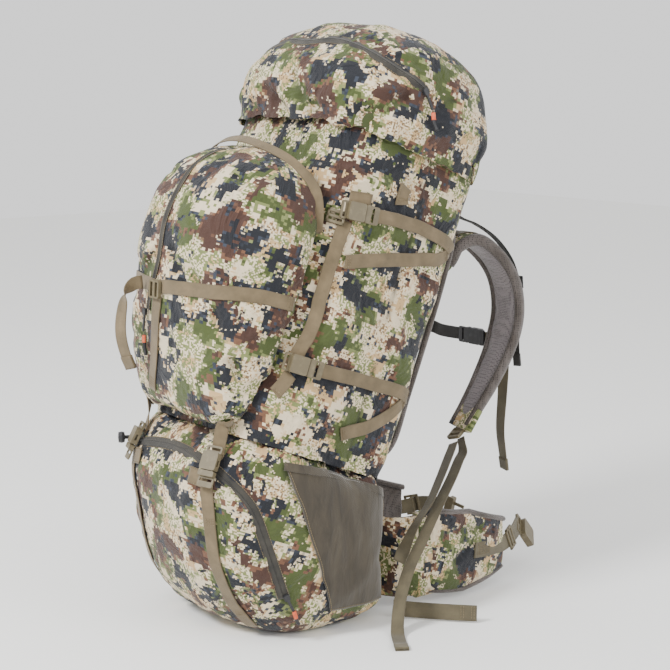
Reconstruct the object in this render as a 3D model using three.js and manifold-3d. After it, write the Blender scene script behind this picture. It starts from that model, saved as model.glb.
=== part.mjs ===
// Internal-frame hunting backpack standing on its stuffed base.
// Millimetres, +Z up, the pack's outer face towards -Y, the wearer's side towards +Y,
// the wearer's right at +X. The origin is the middle of the flat base, on the floor.
import * as THREE from 'three';
import { mergeVertices } from 'three/addons/utils/BufferGeometryUtils.js';
import Module from 'manifold-3d';

const wasm = await Module();
wasm.setup();

// ---- driving dimensions -------------------------------------------------------------
const LEAN = THREE.MathUtils.degToRad(22); // the upper back leans this far from upright
const KNEE = { y: 148, z: 225 }; // the upright lower back turns into the upper back here
const HALF = 170; // half the width of the bag
const WALL = 4; // thickness given to the bag's fabric wall
const LID_HEM = 445; // height of the lid's hem, along the leaning back
const BAG_RIM = 474; // height of the main bag's open rim, along the leaning back
const WEB = 20; // width of the narrow webbing
const WIDE_WEB = 25; // width of the bottom webbing
const WEB_THICK = 1.8;
const LIFT = 1.2; // clear distance between webbing and the cloth below it
const RING_POINTS = 32;
const PAD_WIDTH = 65;
const PAD_THICK = 18;
const HIP_X = 146; // middle of the hip pads where they flex
const HIP_FLEX_Y = 224;
const REAR_SQUARE = 7; // the bag's rear corners are crisp, its front ones round
const CLIP_WIDTH = 26; // width of a 20 mm side-release buckle

const v3 = (x, y, z) => new THREE.Vector3(x, y, z);
const UP = v3(0, 0, 1);
const ACROSS = v3(1, 0, 0);
const LEAN_UP = v3(0, Math.sin(LEAN), Math.cos(LEAN));
const LEAN_OUT = v3(0, Math.cos(LEAN), -Math.sin(LEAN)); // away from the bag, to the wearer

// A point given from the knee: across, out towards the wearer, and up along the back
function lean(x, out, up) {
  return v3(x, KNEE.y, KNEE.z).addScaledVector(LEAN_OUT, out).addScaledVector(LEAN_UP, up);
}

// ---- closed bodies ------------------------------------------------------------------
function closedBody(points, triangles) {
  let volume = 0;
  for (const [a, b, c] of triangles) {
    volume += points[a].dot(points[b].clone().cross(points[c]));
  }
  const index = triangles.flatMap(([a, b, c]) => (volume > 0 ? [a, b, c] : [a, c, b]));
  const geometry = new THREE.BufferGeometry();
  const flat = points.flatMap((p) => [p.x, p.y, p.z]);
  geometry.setAttribute('position', new THREE.Float32BufferAttribute(flat, 3));
  geometry.setIndex(index);
  geometry.computeVertexNormals();
  return geometry;
}

// Joins equal rings of points into one body, each end closed by a fan to its middle
function loft(rings) {
  const count = rings[0].length;
  const points = rings.flat();
  const triangles = [];
  for (let r = 0; r + 1 < rings.length; r++) {
    for (let i = 0; i < count; i++) {
      const a = r * count + i;
      const b = r * count + ((i + 1) % count);
      triangles.push([a, b, b + count], [a, b + count, a + count]);
    }
  }
  const cap = (start, flip) => {
    const middle = v3(0, 0, 0);
    for (let i = 0; i < count; i++) middle.addScaledVector(points[start + i], 1 / count);
    points.push(middle);
    for (let i = 0; i < count; i++) {
      const a = start + i;
      const b = start + ((i + 1) % count);
      triangles.push(flip ? [b, a, points.length - 1] : [a, b, points.length - 1]);
    }
  };
  cap(0, true);
  cap((rings.length - 1) * count, false);
  return closedBody(points, triangles);
}

const rectangle = (width, thick) => [
  [-width / 2, 0], [width / 2, 0], [width / 2, thick], [-width / 2, thick],
];

function padSection(width, thick, sides = 10) {
  const section = [];
  for (let i = 0; i < sides; i++) {
    const turn = ((i + 0.5) / sides) * 2 * Math.PI;
    const x = Math.cos(turn);
    const y = Math.sin(turn);
    const reach = (Math.abs(x) ** 5 + Math.abs(y) ** 5) ** (-1 / 5);
    section.push([(x * reach * width) / 2, (y * reach * thick) / 2]);
  }
  return section;
}

// Sweeps a section along points. sides are the directions of the section's width, and
// the section's thickness goes along the route crossed with them.
function sweep(points, sides, section) {
  const last = points.length - 1;
  return loft(points.map((point, i) => {
    const along = points[Math.min(i + 1, last)].clone().sub(points[Math.max(i - 1, 0)]);
    const side = (Array.isArray(sides) ? sides[i] : sides).clone();
    side.addScaledVector(along, -side.dot(along) / along.lengthSq()).normalize();
    const face = along.normalize().cross(side);
    const outline = typeof section === 'function' ? section(i / last) : section;
    return outline.map(([across, out]) => point.clone()
      .addScaledVector(side, across).addScaledVector(face, out));
  }));
}

function smooth(route, steps) {
  return new THREE.CatmullRomCurve3(route, false, 'centripetal').getSpacedPoints(steps);
}

function blendedSides(from, to, count) {
  return Array.from({ length: count }, (_, i) => from.clone().lerp(to, i / (count - 1)));
}

const mirrored = (points, side) => points.map((p) => v3(p.x * side, p.y, p.z));

// ---- stuffed and walled bag shells --------------------------------------------------
// A rib is a rounded rectangle in the plane through X and the line from rear to front.
// seat is where its widest line lies, as a share of the way from rear to front.
function rib(front, rear, half, square, rearSquare = REAR_SQUARE, seat = 0.5) {
  return { front, rear, half, square, rearSquare, seat };
}

const leanRib = (up, front, rear, half, square, rearSquare, seat) => (
  rib(lean(0, front, up), lean(0, rear, up), half, square, rearSquare, seat)
);

function spline(values, t) {
  const i = Math.min(Math.floor(t), values.length - 2);
  const at = (k) => values[Math.min(Math.max(k, 0), values.length - 1)];
  const [a, b, c, d] = [at(i - 1), at(i), at(i + 1), at(i + 2)];
  const f = t - i;
  return b + 0.5 * f * (c - a + f * (2 * a - 5 * b + 4 * c - d + f * (3 * (b - c) + d - a)));
}

class Shell {
  constructor(ribs) {
    this.ribs = ribs;
    this.last = ribs.length - 1;
  }

  rib(t) {
    const mix = (pick) => spline(this.ribs.map(pick), t);
    return rib(
      v3(0, mix((r) => r.front.y), mix((r) => r.front.z)),
      v3(0, mix((r) => r.rear.y), mix((r) => r.rear.z)),
      mix((r) => r.half), mix((r) => r.square), mix((r) => r.rearSquare), mix((r) => r.seat),
    );
  }

  // angle 0 points to +X, a quarter turn to the front
  bare(t, angle) {
    const { front, rear, half, square, rearSquare, seat } = this.rib(t);
    const toFront = front.clone().sub(rear);
    const depth = toFront.length();
    const x = Math.cos(angle);
    const y = Math.sin(angle);
    const reach = depth * (y > 0 ? 1 - seat : seat);
    const power = y > 0 ? square : rearSquare;
    const size = (Math.abs(x / half) ** power + Math.abs(y / reach) ** power) ** (-1 / power);
    return rear.clone().addScaledVector(toFront, seat + (y * size) / depth)
      .addScaledVector(ACROSS, x * size);
  }

  normal(t, angle) {
    const step = 0.02;
    const low = Math.min(Math.max(t, step), this.last - step);
    const along = this.bare(low + step, angle).sub(this.bare(low - step, angle));
    const round = this.bare(low, angle + step).sub(this.bare(low, angle - step));
    const out = round.cross(along).normalize();
    const { front, rear, seat } = this.rib(low);
    const middle = rear.clone().lerp(front, seat);
    return out.dot(this.bare(low, angle).sub(middle)) < 0 ? out.negate() : out;
  }

  point(t, angle, off = 0) {
    return this.bare(t, angle).addScaledVector(this.normal(t, angle), off);
  }

  // The shell's own coordinates of the surface point nearest to a given point
  place(target) {
    let [low, high] = [0, this.last];
    const above = (t) => {
      const { front, rear } = this.rib(t);
      const up = front.clone().sub(rear).cross(ACROSS);
      const next = this.rib(Math.min(t + 0.05, this.last));
      const sign = Math.sign(up.dot(next.rear.clone().sub(rear))) || 1;
      return sign * up.dot(target.clone().sub(rear)) > 0;
    };
    for (let i = 0; i < 24; i++) {
      const middle = (low + high) / 2;
      if (above(middle)) low = middle;
      else high = middle;
    }
    const t = (low + high) / 2;
    const { front, rear, seat } = this.rib(t);
    const forward = front.clone().sub(rear).normalize();
    const depth = target.clone().sub(rear.clone().lerp(front, seat)).dot(forward);
    return { t, angle: Math.atan2(depth, target.x) };
  }

  onto(target, off) {
    const { t, angle } = this.place(target);
    return { point: this.point(t, angle, off), normal: this.normal(t, angle) };
  }

  ring(t, off = 0) {
    return Array.from({ length: RING_POINTS }, (_, i) => (
      this.point(t, (i / RING_POINTS) * 2 * Math.PI, off)));
  }

  flatRing(t) {
    return Array.from({ length: RING_POINTS }, (_, i) => (
      this.bare(t, (i / RING_POINTS) * 2 * Math.PI)));
  }

  body(steps) {
    return loft(Array.from({ length: steps + 1 }, (_, i) => (
      this.flatRing((i / steps) * this.last))));
  }
}

// Webbing that follows a shell, along rough points that are dropped onto it
function webOn(shell, route, steps, width = WEB, lift = LIFT, thick = WEB_THICK) {
  const spots = smooth(route, steps).map((p) => shell.onto(p, lift));
  const points = spots.map((s) => s.point);
  const sides = spots.map((s, i) => {
    const last = points.length - 1;
    const along = points[Math.min(i + 1, last)].clone().sub(points[Math.max(i - 1, 0)]);
    return s.normal.clone().cross(along.normalize());
  });
  return sweep(points, sides, rectangle(width, thick));
}

// A panel that covers part of a shell: grid(u, w) gives rough points on it, and
// clear(u, w) how far its inner face stands off
function panelOn(shell, grid, clear, thick, nu, nw) {
  const inner = [];
  const outer = [];
  for (let j = 0; j <= nw; j++) {
    for (let i = 0; i <= nu; i++) {
      const [u, w] = [i / nu, j / nw];
      const spot = shell.onto(grid(u, w), clear(u, w));
      inner.push(spot.point);
      outer.push(spot.point.clone().addScaledVector(spot.normal, thick));
    }
  }
  const shift = inner.length;
  const at = (i, j) => j * (nu + 1) + i;
  const triangles = [];
  const quad = (a, b, c, d) => triangles.push([a, b, c], [a, c, d]);
  for (let j = 0; j < nw; j++) {
    for (let i = 0; i < nu; i++) {
      const corners = [at(i, j), at(i + 1, j), at(i + 1, j + 1), at(i, j + 1)];
      quad(...corners.slice().reverse());
      quad(...corners.map((c) => c + shift));
    }
  }
  const edge = (a, b) => quad(a, b, b + shift, a + shift);
  for (let i = 0; i < nu; i++) {
    edge(at(i, 0), at(i + 1, 0));
    edge(at(i + 1, nw), at(i, nw));
  }
  for (let j = 0; j < nw; j++) {
    edge(at(nu, j), at(nu, j + 1));
    edge(at(0, j + 1), at(0, j));
  }
  return closedBody(inner.concat(outer), triangles);
}

// ---- booleans -----------------------------------------------------------------------
function toSolid(geometry) {
  const bare = geometry.clone();
  bare.deleteAttribute('normal');
  bare.deleteAttribute('uv');
  const merged = mergeVertices(bare, 1e-4);
  return new wasm.Manifold(new wasm.Mesh({
    numProp: 3,
    vertProperties: new Float32Array(merged.attributes.position.array),
    triVerts: new Uint32Array(merged.index.array),
  }));
}

function toGeometry(solid) {
  const mesh = solid.getMesh();
  const geometry = new THREE.BufferGeometry();
  geometry.setAttribute('position', new THREE.BufferAttribute(mesh.vertProperties, 3));
  geometry.setIndex(new THREE.BufferAttribute(mesh.triVerts, 1));
  geometry.computeVertexNormals();
  return geometry;
}

// A box between two corners
function block(x0, x1, y0, y1, z0, z1) {
  return toSolid(new THREE.BoxGeometry(x1 - x0, y1 - y0, z1 - z0)
    .translate((x0 + x1) / 2, (y0 + y1) / 2, (z0 + z1) / 2));
}

function plate(x0, x1, width, z0, z1, round) {
  const half = width / 2;
  const shape = new THREE.Shape();
  shape.moveTo(x0 + round, -half);
  shape.lineTo(x1 - round, -half);
  shape.quadraticCurveTo(x1, -half, x1, -half + round);
  shape.lineTo(x1, half - round);
  shape.quadraticCurveTo(x1, half, x1 - round, half);
  shape.lineTo(x0 + round, half);
  shape.quadraticCurveTo(x0, half, x0, half - round);
  shape.lineTo(x0, -half + round);
  shape.quadraticCurveTo(x0, -half, x0 + round, -half);
  const options = { depth: z1 - z0, bevelEnabled: false, curveSegments: 2 };
  return toSolid(new THREE.ExtrudeGeometry(shape, options).translate(0, 0, z0));
}

// ---- materials ----------------------------------------------------------------------
const cloth = (color, roughness = 0.9) => (
  new THREE.MeshStandardMaterial({ color, roughness, metalness: 0 }));
const camo = () => cloth(0x9a9276);
const darkCloth = () => cloth(0x5c5548);
const webbing = () => cloth(0x8c8164, 0.85);
const mesh = () => cloth(0x7a7072);
const buckle = () => cloth(0x756a50, 0.5);
const plastic = () => cloth(0x33322f, 0.6);

const pack = new THREE.Group();

function add(name, geometry, material, frame) {
  const part = new THREE.Mesh(geometry, material);
  part.name = name;
  if (frame) {
    part.position.copy(frame.position);
    part.quaternion.copy(frame.quaternion);
  }
  pack.add(part);
  return part;
}

// A frame whose X goes along pull and whose Z goes along out
function frameOf(position, pull, out) {
  const z = out.clone().normalize();
  const x = pull.clone().addScaledVector(z, -pull.dot(z)).normalize();
  const basis = new THREE.Matrix4().makeBasis(x, z.clone().cross(x), z);
  return { position, quaternion: new THREE.Quaternion().setFromRotationMatrix(basis) };
}

function frameOn(shell, target, toward, off) {
  const { point, normal } = shell.onto(target, off);
  return frameOf(point, toward.clone().sub(target), normal);
}

const sides = [['right', 1], ['left', -1]];

// ---- the bag ------------------------------------------------------------------------
const base = new Shell([
  rib(v3(0, -44, 0), v3(0, 116, 0), 124, 3, 4),
  rib(v3(0, -72, 14), v3(0, 134, 8), 146, 2.8, 5),
  rib(v3(0, -100, 44), v3(0, 144, 26), 161, 2.8),
  rib(v3(0, -127, 92), v3(0, 146, 60), 168, 2.8),
  rib(v3(0, -144, 150), v3(0, 146, 105), 170, 2.8),
  rib(v3(0, -150, 205), v3(0, 146, 145), HALF, 2.8),
  rib(v3(0, -149, 258), v3(0, 146, 180), 168, 3),
  rib(lean(0, -270, -30), lean(0, -2, -26), 166, 3.2),
  rib(lean(0, -262, -16), lean(0, -2, -16), 163, 3.3),
]);
add('base_compartment', base.body(16), camo());

const bag = new Shell([
  leanRib(-14, -260, -2, 162, 3.4),
  leanRib(20, -266, -1, 168, 3.6),
  leanRib(110, -270, -1, HALF, 3.8),
  leanRib(280, -266, -1, HALF, 3.8),
  leanRib(430, -260, -1, HALF, 3.8),
  leanRib(BAG_RIM, -254, -3, 166, 3.8),
]);
const bagRings = [0, 0.5, 1, 1.5, 2, 2.5, 3, 3.5, 4, 5].map((t) => bag.flatRing(t));
const insideRings = [5, 4, 3, 2, 1, 0.25].map((t) => bag.ring(t, -WALL));
add('main_bag', loft(bagRings.concat(insideRings)), camo());

// The stuffed front pocket is cut to sit against the bag and the base
const pocket = new Shell([
  leanRib(-6, -300, -236, 96, 2.3, 3, 0.5),
  leanRib(12, -318, -228, 118, 2.2, 3, 0.45),
  leanRib(60, -344, -222, 140, 2.1, 3, 0.4),
  leanRib(120, -374, -222, 148, 2.1, 3, 0.35),
  leanRib(200, -398, -220, 152, 2.1, 3, 0.33),
  leanRib(270, -402, -220, 150, 2.1, 3, 0.33),
  leanRib(325, -390, -220, 138, 2.1, 3, 0.35),
  leanRib(362, -366, -222, 112, 2.1, 3, 0.4),
  leanRib(384, -326, -228, 70, 2.2, 3, 0.45),
]);
const POCKET_CLEAR = { bag: 3.8, base: 0.8 }; // webbing lies between pocket and bag
const grown = (shell, by) => loft(Array.from({ length: 21 }, (_, i) => (
  shell.ring((i / 20) * shell.last, by))));
const pocketBody = toSolid(pocket.body(18))
  .subtract(toSolid(grown(bag, POCKET_CLEAR.bag)))
  .subtract(toSolid(grown(base, POCKET_CLEAR.base)));
add('front_pocket', toGeometry(pocketBody), camo());

const lid = new Shell([
  leanRib(LID_HEM, -276, 14, 180, 3.4, 5),
  leanRib(480, -282, 16, 182, 3.2, 4.4),
  leanRib(520, -284, 14, 180, 3, 3.6),
  leanRib(560, -276, 6, 172, 2.9, 3.2),
  leanRib(594, -252, -14, 150, 2.7, 3),
  leanRib(616, -216, -46, 114, 2.5, 2.8),
  leanRib(627, -176, -90, 60, 2.4, 2.4),
]);
const lidInside = [BAG_RIM + 4, LID_HEM].map((up) => {
  const lining = new Shell([
    leanRib(up, -266, 3, 174, 3.8), leanRib(up + 1, -266, 3, 174, 3.8),
  ]);
  return lining.flatRing(0);
});
const lidRings = Array.from({ length: 13 }, (_, i) => lid.flatRing(i / 2));
add('lid', loft(lidInside.concat(lidRings)), camo());

// ---- side pockets -------------------------------------------------------------------
const SIDE_POCKET = {
  topFront: v3(HALF, -56, 274), topRear: v3(HALF, 134, 200),
  lowFront: v3(HALF, 24, 40), lowRear: v3(HALF, 132, 36),
};
const POCKET_ROOM = 9; // how far the pocket's mouth stands open
for (const [name, side] of sides) {
  const grid = (u, w) => {
    const low = SIDE_POCKET.lowFront.clone().lerp(SIDE_POCKET.lowRear, u);
    const high = SIDE_POCKET.topFront.clone().lerp(SIDE_POCKET.topRear, u);
    const p = low.lerp(high, w);
    return v3(p.x * side, p.y, p.z);
  };
  const room = (u, w) => 1.2 + POCKET_ROOM * Math.sin(Math.PI * u) ** 0.6 * Math.min(1, 1.6 * w);
  add(`side_pocket_${name}`, panelOn(base, grid, room, 2, 10, 8), darkCloth());
}

// ---- frame sheet, back panel and lumbar pad -----------------------------------------------
const KNEE_RADIUS = 200;
function spine(out) {
  const tangent = KNEE_RADIUS * Math.tan(LEAN / 2);
  const turn = [0, 0.25, 0.5, 0.75, 1].map((share) => lean(0, KNEE_RADIUS, tangent)
    .add(v3(0, -Math.cos(share * LEAN), Math.sin(share * LEAN))
      .multiplyScalar(KNEE_RADIUS - out)));
  return [v3(0, KNEE.y + out, 30), ...turn, lean(0, out, 425)];
}
add('frame_sheet', sweep(spine(1.5), ACROSS, rectangle(244, -2)), plastic());
const backPad = new Shell([
  leanRib(22, 22, 10, 104, 6), leanRib(40, 27, 9.5, 116, 6), leanRib(300, 28, 9.5, 118, 6),
  leanRib(376, 26, 9.5, 108, 6), leanRib(390, 20, 10, 96, 6),
]);
add('back_panel', backPad.body(8), mesh());

// The lumbar pad turns forward at both ends into the roots of the hip wings
const LUMBAR_Z = 84;
const LUMBAR_TALL = 132;
const HIP_THICK = 15;
const lumbarHalf = [
  v3(0, KNEE.y + 16, LUMBAR_Z), v3(80, KNEE.y + 18, LUMBAR_Z), v3(122, KNEE.y + 23, LUMBAR_Z),
  v3(HIP_X - 4, KNEE.y + 46, LUMBAR_Z), v3(HIP_X, HIP_FLEX_Y - 3, LUMBAR_Z),
];
const lumbarRoute = smooth([...mirrored(lumbarHalf, -1).reverse(), ...lumbarHalf.slice(1)], 22);
add('lumbar_pad', sweep(lumbarRoute, UP, padSection(LUMBAR_TALL, HIP_THICK)), mesh());

// ---- webbing sewn to the bag --------------------------------------------------------
// Each compression strap runs back round the bag's rear edge and returns lower down
const joined = (...geometries) => toGeometry(
  geometries.map(toSolid).reduce((whole, piece) => whole.add(piece)));
for (const [name, side] of sides) {
  const on = (points) => points.map(([out, up]) => lean(side * HALF, out, up));
  const upper = webOn(bag, on([[-150, 349], [-80, 352], [-24, 346], [-8, 340]]), 10, WEB, 2 * LIFT);
  const back = on([[-8, 336], [-30, 326], [-90, 306], [-216, 264]]);
  const upperReturn = webOn(bag, back, 12, WEB, 2 * LIFT);
  add(`upper_strap_${name}`, joined(upper, upperReturn), webbing());
  const lower = webOn(bag, on([[-200, 107], [-110, 114], [-24, 116], [-8, 112]]), 12);
  const lowerReturn = webOn(bag, on([[-8, 108], [-28, 96], [-70, 60], [-128, 30]]), 10);
  add(`lower_strap_${name}`, joined(lower, lowerReturn), webbing());
  add(`diagonal_strap_${name}`,
    webOn(bag, on([[-240, 322], [-244, 221], [-252, 124], [-266, 58]]), 12), webbing());
}

// Horizontal webbing round the pocket, its ladder lock and the webbing down the pocket
const frontHalf = [
  lean(0, -398, 151), lean(70, -380, 160), lean(120, -325, 174), lean(140, -262, 184),
];
const frontStrap = [...mirrored(frontHalf, -1).reverse(), ...frontHalf.slice(1)];
add('front_strap', webOn(pocket, frontStrap, 24), webbing());
const ladderLock = () => {
  const windows = block(-9, -3, -10.2, 10.2, -1, 6).add(block(3, 9, -10.2, 10.2, -1, 6));
  return toGeometry(plate(-13, 13, 26, 0, 5, 4).subtract(windows));
};
const frontLock = frameOn(pocket, lean(0, -400, 151), lean(60, -400, 151), LIFT + WEB_THICK + 1);
add('front_ladder_lock', ladderLock(), buckle(), frontLock);
const centreStrap = [
  lean(0, -396, 136), lean(-8, -380, 90), lean(-28, -345, 40), lean(-36, -322, 12),
];
add('centre_strap', webOn(pocket, centreStrap, 10), webbing());
const frontTail = smooth([
  v3(-34, -158, 516), v3(-40, -168, 514), v3(-46, -178, 500), v3(-50, -184, 472),
  v3(-52, -185, 442), v3(-50, -180, 414), v3(-46, -172, 390),
], 12);
add('front_strap_tail',
  sweep(frontTail, blendedSides(v3(0.2, 0.1, 1), v3(1, 0.3, 0), 13), rectangle(WEB, WEB_THICK)),
  webbing());

// Thin webbing over the top of the pocket, hooked to the bag at both ends
const arcHalf = [
  lean(0, -334, 396), lean(56, -326, 390), lean(104, -304, 376), lean(140, -268, 348),
  lean(160, -238, 312),
];
const arcRoute = smooth([...mirrored(arcHalf, -1).reverse(), ...arcHalf.slice(1)], 30);
add('pocket_arc_strap', sweep(arcRoute, v3(0, -0.5, 1), rectangle(9, WEB_THICK)), darkCloth());

// ---- side-release buckles -----------------------------------------------------------
// Local X is the way that the clip pulls out, Z points away from the cloth
const housing = () => {
  const body = plate(-26, 0, CLIP_WIDTH, 0, 10, 3);
  const mouth = block(-21, 1, -9.2, 9.2, 2.8, 7.4);
  const windows = block(-16, -7, -CLIP_WIDTH, CLIP_WIDTH, 3.4, 6.8);
  const bar = plate(-36, -25, CLIP_WIDTH, 0, 3.4, 3);
  const slot = block(-33, -29, -10.2, 10.2, -1, 5);
  return toGeometry(body.subtract(mouth).subtract(windows).add(bar).subtract(slot));
};
const clip = () => {
  const arms = block(-18, 3, -8.4, -4.6, 3.6, 6.6).add(block(-18, 3, 4.6, 8.4, 3.6, 6.6));
  const guide = block(-14, 3, -1.4, 1.4, 3.6, 6.6);
  const shoulder = plate(1, 9, CLIP_WIDTH, 1, 9, 2);
  const tail = plate(8, 24, CLIP_WIDTH, 1, 3.4, 3);
  const slot = block(12, 16, -10.2, 10.2, -1, 5);
  return toGeometry(arms.add(guide).add(shoulder).add(tail).subtract(slot));
};

const BUCKLE_LIFT = 1.5;
const FRONT_BUCKLE_X = 104;
for (const [name, side] of sides) {
  const beside = (out, up) => lean(side * HALF, out, up);
  const sideSpot = frameOn(bag, beside(-206, 338), beside(-106, 350), BUCKLE_LIFT);
  add(`side_buckle_${name}`, housing(), buckle(), sideSpot);
  add(`side_clip_${name}`, clip(), buckle(), sideSpot);
  const lowSpot = frameOn(bag, beside(-221, 106), beside(-150, 108), 2 * BUCKLE_LIFT);
  add(`low_buckle_${name}`, housing(), buckle(), lowSpot);
  add(`low_clip_${name}`, clip(), buckle(), lowSpot);
  const before = (y, z) => v3(side * FRONT_BUCKLE_X, y, z);
  const frontSpot = frameOn(base, before(-140, 262), before(-150, 190), BUCKLE_LIFT + 1);
  add(`front_buckle_${name}`, housing(), buckle(), frontSpot);
  add(`front_clip_${name}`, clip(), buckle(), frontSpot);
  const down = [
    before(-150, 226), before(-148, 190), before(-146, 150), before(-128, 92),
    before(-100, 44), before(-74, 16),
  ];
  add(`base_strap_${name}`, webOn(base, down, 14, WEB, 1), webbing());
}

// ---- loops and small fittings on the bag --------------------------------------------
const haul = smooth([
  lean(-28, 7, 400), lean(-31, 22, 410), lean(-24, 36, 420), lean(0, 42, 424),
  lean(24, 36, 420), lean(31, 22, 410), lean(28, 7, 400),
], 16);
add('haul_loop', sweep(haul, LEAN_OUT, rectangle(18, 3)), webbing());

// A cord lock on a short stub holds a tool shaft against the bag
const toggle = frameOf(v3(-134, -140, 267), UP, v3(-0.5, -1, 0));
const toggleShape = new THREE.LatheGeometry([
  new THREE.Vector2(0, -14), new THREE.Vector2(3, -14), new THREE.Vector2(3, -5),
  new THREE.Vector2(8, -4), new THREE.Vector2(9, 0), new THREE.Vector2(8, 5),
  new THREE.Vector2(0, 6),
], 12).rotateX(Math.PI / 2);
add('tool_toggle', toGeometry(toSolid(toggleShape)), plastic(), toggle);

for (const [name, side] of sides) {
  const strap = smooth(mirrored([
    v3(160, 152, 16), v3(186, 172, 15.5), v3(222, 202, 15.5), v3(256, 234, 15.5),
  ], side), 8);
  add(`pad_strap_${name}`, sweep(strap, UP, rectangle(WIDE_WEB, side * WEB_THICK)), webbing());
}

// ---- zip sliders --------------------------------------------------------------------
// A slider with its pull hanging below; local X runs along the zip
const slider = (pull) => {
  const body = plate(-5, 5, 9, 0, 4, 2);
  const tab = plate(4, 4 + pull, 4, 1.2, 3.2, 1);
  return toGeometry(body.add(tab));
};
const ZIP_THICK = 1;
const OVER_ZIP = ZIP_THICK + 1.4;
for (const [name, side] of sides) {
  const spot = frameOn(base, v3(side * 162, -50, 76), v3(side * 162, -36, 50), OVER_ZIP);
  add(`base_zip_slider_${name}`, slider(22), plastic(), spot);
}
const pocketSpot = frameOn(pocket, lean(-32, -370, 118), lean(-38, -350, 84), OVER_ZIP);
add('pocket_zip_slider', slider(26), plastic(), pocketSpot);
const lidSpot = frameOn(lid, lean(178, -172, 534), lean(181, -150, 508), OVER_ZIP);
add('lid_zip_slider', slider(24), plastic(), lidSpot);

// ---- shoulder straps ----------------------------------------------------------------
const SHOULDER_PIVOT = v3(0, 316, 528);
const shoulderRoute = smooth([
  v3(72, SHOULDER_PIVOT.y + 2, SHOULDER_PIVOT.z), v3(82, 328, 548), v3(96, 352, 556),
  v3(104, 386, 534), v3(108, 420, 490), v3(109, 430, 436), v3(108, 416, 382),
  v3(105, 386, 326), v3(102, 352, 278), v3(100, 342, 262),
], 22);
const strapSection = (f) => padSection(
  PAD_WIDTH - 22 * Math.max(0, f - 0.6) / 0.4, PAD_THICK - 8 * Math.max(0, f - 0.8) / 0.2, 8,
);
const LOCK_AT = v3(100, 333, 247);
const lowerRoute = [
  v3(172, 152, 90), v3(170, 164, 109), v3(163, 190, 138), v3(158, 222, 166), v3(140, 258, 192),
  v3(118, 296, 218), v3(113, 305, 224),
];
const tailRoute = [
  v3(114, 332, 222), v3(124, 314, 210), v3(140, 286, 192), v3(162, 240, 162), v3(184, 190, 123),
  v3(196, 151, 84), v3(205, 128, 48), v3(213, 116, 20), v3(224, 106, 5), v3(244, 92, 2.2),
  v3(262, 80, 2.2), v3(276, 71, 2.2),
];
const shortTailRoute = [
  v3(-114, 332, 222), v3(-124, 314, 210), v3(-140, 286, 192), v3(-162, 240, 162),
  v3(-186, 194, 122), v3(-196, 160, 84), v3(-200, 140, 48), v3(-203, 132, 16),
];
const lifterRoute = [
  lean(76, 27, 420), v3(80, 352, 588), v3(92, 372, 578), v3(104, 402, 556), v3(110, 432, 520),
  v3(113, 447, 484), v3(117, 447, 450), v3(120, 440, 416), v3(122, 436, 384), v3(122, 440, 348),
];
for (const [name, side] of sides) {
  const flip = (route) => mirrored(route, side);
  const outward = v3(side, 0, 0);
  add(`shoulder_strap_${name}`, sweep(flip(shoulderRoute), ACROSS, strapSection), mesh());
  const lockPull = v3(side * 0.25, -1, -0.6);
  const lock = frameOf(flip([LOCK_AT])[0], lockPull, v3(side * 0.2, 0.6, -1).negate());
  add(`ladder_lock_${name}`, ladderLock(), buckle(), lock);
  const lower = smooth(flip(lowerRoute), 14);
  const facing = blendedSides(v3(0, 0.7, 0.7), v3(side, 0.3, 0), lower.length);
  add(`lower_webbing_${name}`, sweep(lower, facing, rectangle(WEB, WEB_THICK)), webbing());
  const tail = smooth(side > 0 ? tailRoute : shortTailRoute, 24);
  const turned = blendedSides(v3(0.9 * side, 0.4, 0), v3(0.55 * side, 0.83, 0), tail.length);
  add(`shoulder_tail_${name}`, sweep(tail, turned, rectangle(WEB, side * WEB_THICK)), webbing());
  const lifter = smooth(flip(lifterRoute), 18);
  add(`load_lifter_${name}`, sweep(lifter, outward, rectangle(12, WEB_THICK)), darkCloth());
}

// ---- sternum strap ------------------------------------------------------------------
const STERNUM = v3(34, 414, 388); // the mouth of the buckle
const sternumSpot = frameOf(STERNUM, v3(-1, 0, 0), v3(0, 1, 0));
add('sternum_buckle', housing(), buckle(), sternumSpot);
add('sternum_clip', clip(), buckle(), sternumSpot);
const STERNUM_WEB_Y = STERNUM.y + 11.4; // the web passes over the clip's shoulder
const sternumWeb = sweep([-71, -25, 20].map((x) => (
  v3(x, STERNUM_WEB_Y, STERNUM.z - (x === -25 ? 1.5 : 0)))), UP, rectangle(WEB, WEB_THICK));
add('sternum_web_left', sternumWeb, webbing());

const sternumTail = smooth([
  v3(94, 436, 366), v3(98, 434, 345), v3(99, 431, 298), v3(97, 430, 239), v3(95, 438, 200),
  v3(94, 444, 172),
], 10);
add('sternum_tail', sweep(sternumTail, v3(0.8, 0.6, 0), rectangle(WEB, WEB_THICK)), webbing());

// ---- hip wings ----------------------------------------------------------------------
const hipRoute = smooth([
  v3(HIP_X, HIP_FLEX_Y + 3, LUMBAR_Z), v3(HIP_X + 1, 242, LUMBAR_Z), v3(HIP_X + 2, 266, 79),
  v3(HIP_X - 1, 310, 72), v3(HIP_X - 8, 360, 66), v3(HIP_X - 22, 408, 62),
], 14);
const hipSection = (f) => padSection(
  LUMBAR_TALL - 46 * Math.max(0, f - 0.45) / 0.55, HIP_THICK - 4 * f, 10,
);
for (const [name, side] of sides) {
  add(`hip_wing_${name}`, sweep(mirrored(hipRoute, side), UP, hipSection), camo());
}
const WIDE = CLIP_WIDTH + 12; // the hip belt's buckle is half as wide again
const hipHousing = () => {
  const body = plate(0, 34, WIDE, 0, 11, 5).subtract(block(12, 35, -13.2, 13.2, 3, 8));
  const bar = plate(-14, 1, WIDE, 0, 4, 3).subtract(block(-10, -5, -14, 14, -1, 5));
  return toGeometry(body.add(bar));
};
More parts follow.
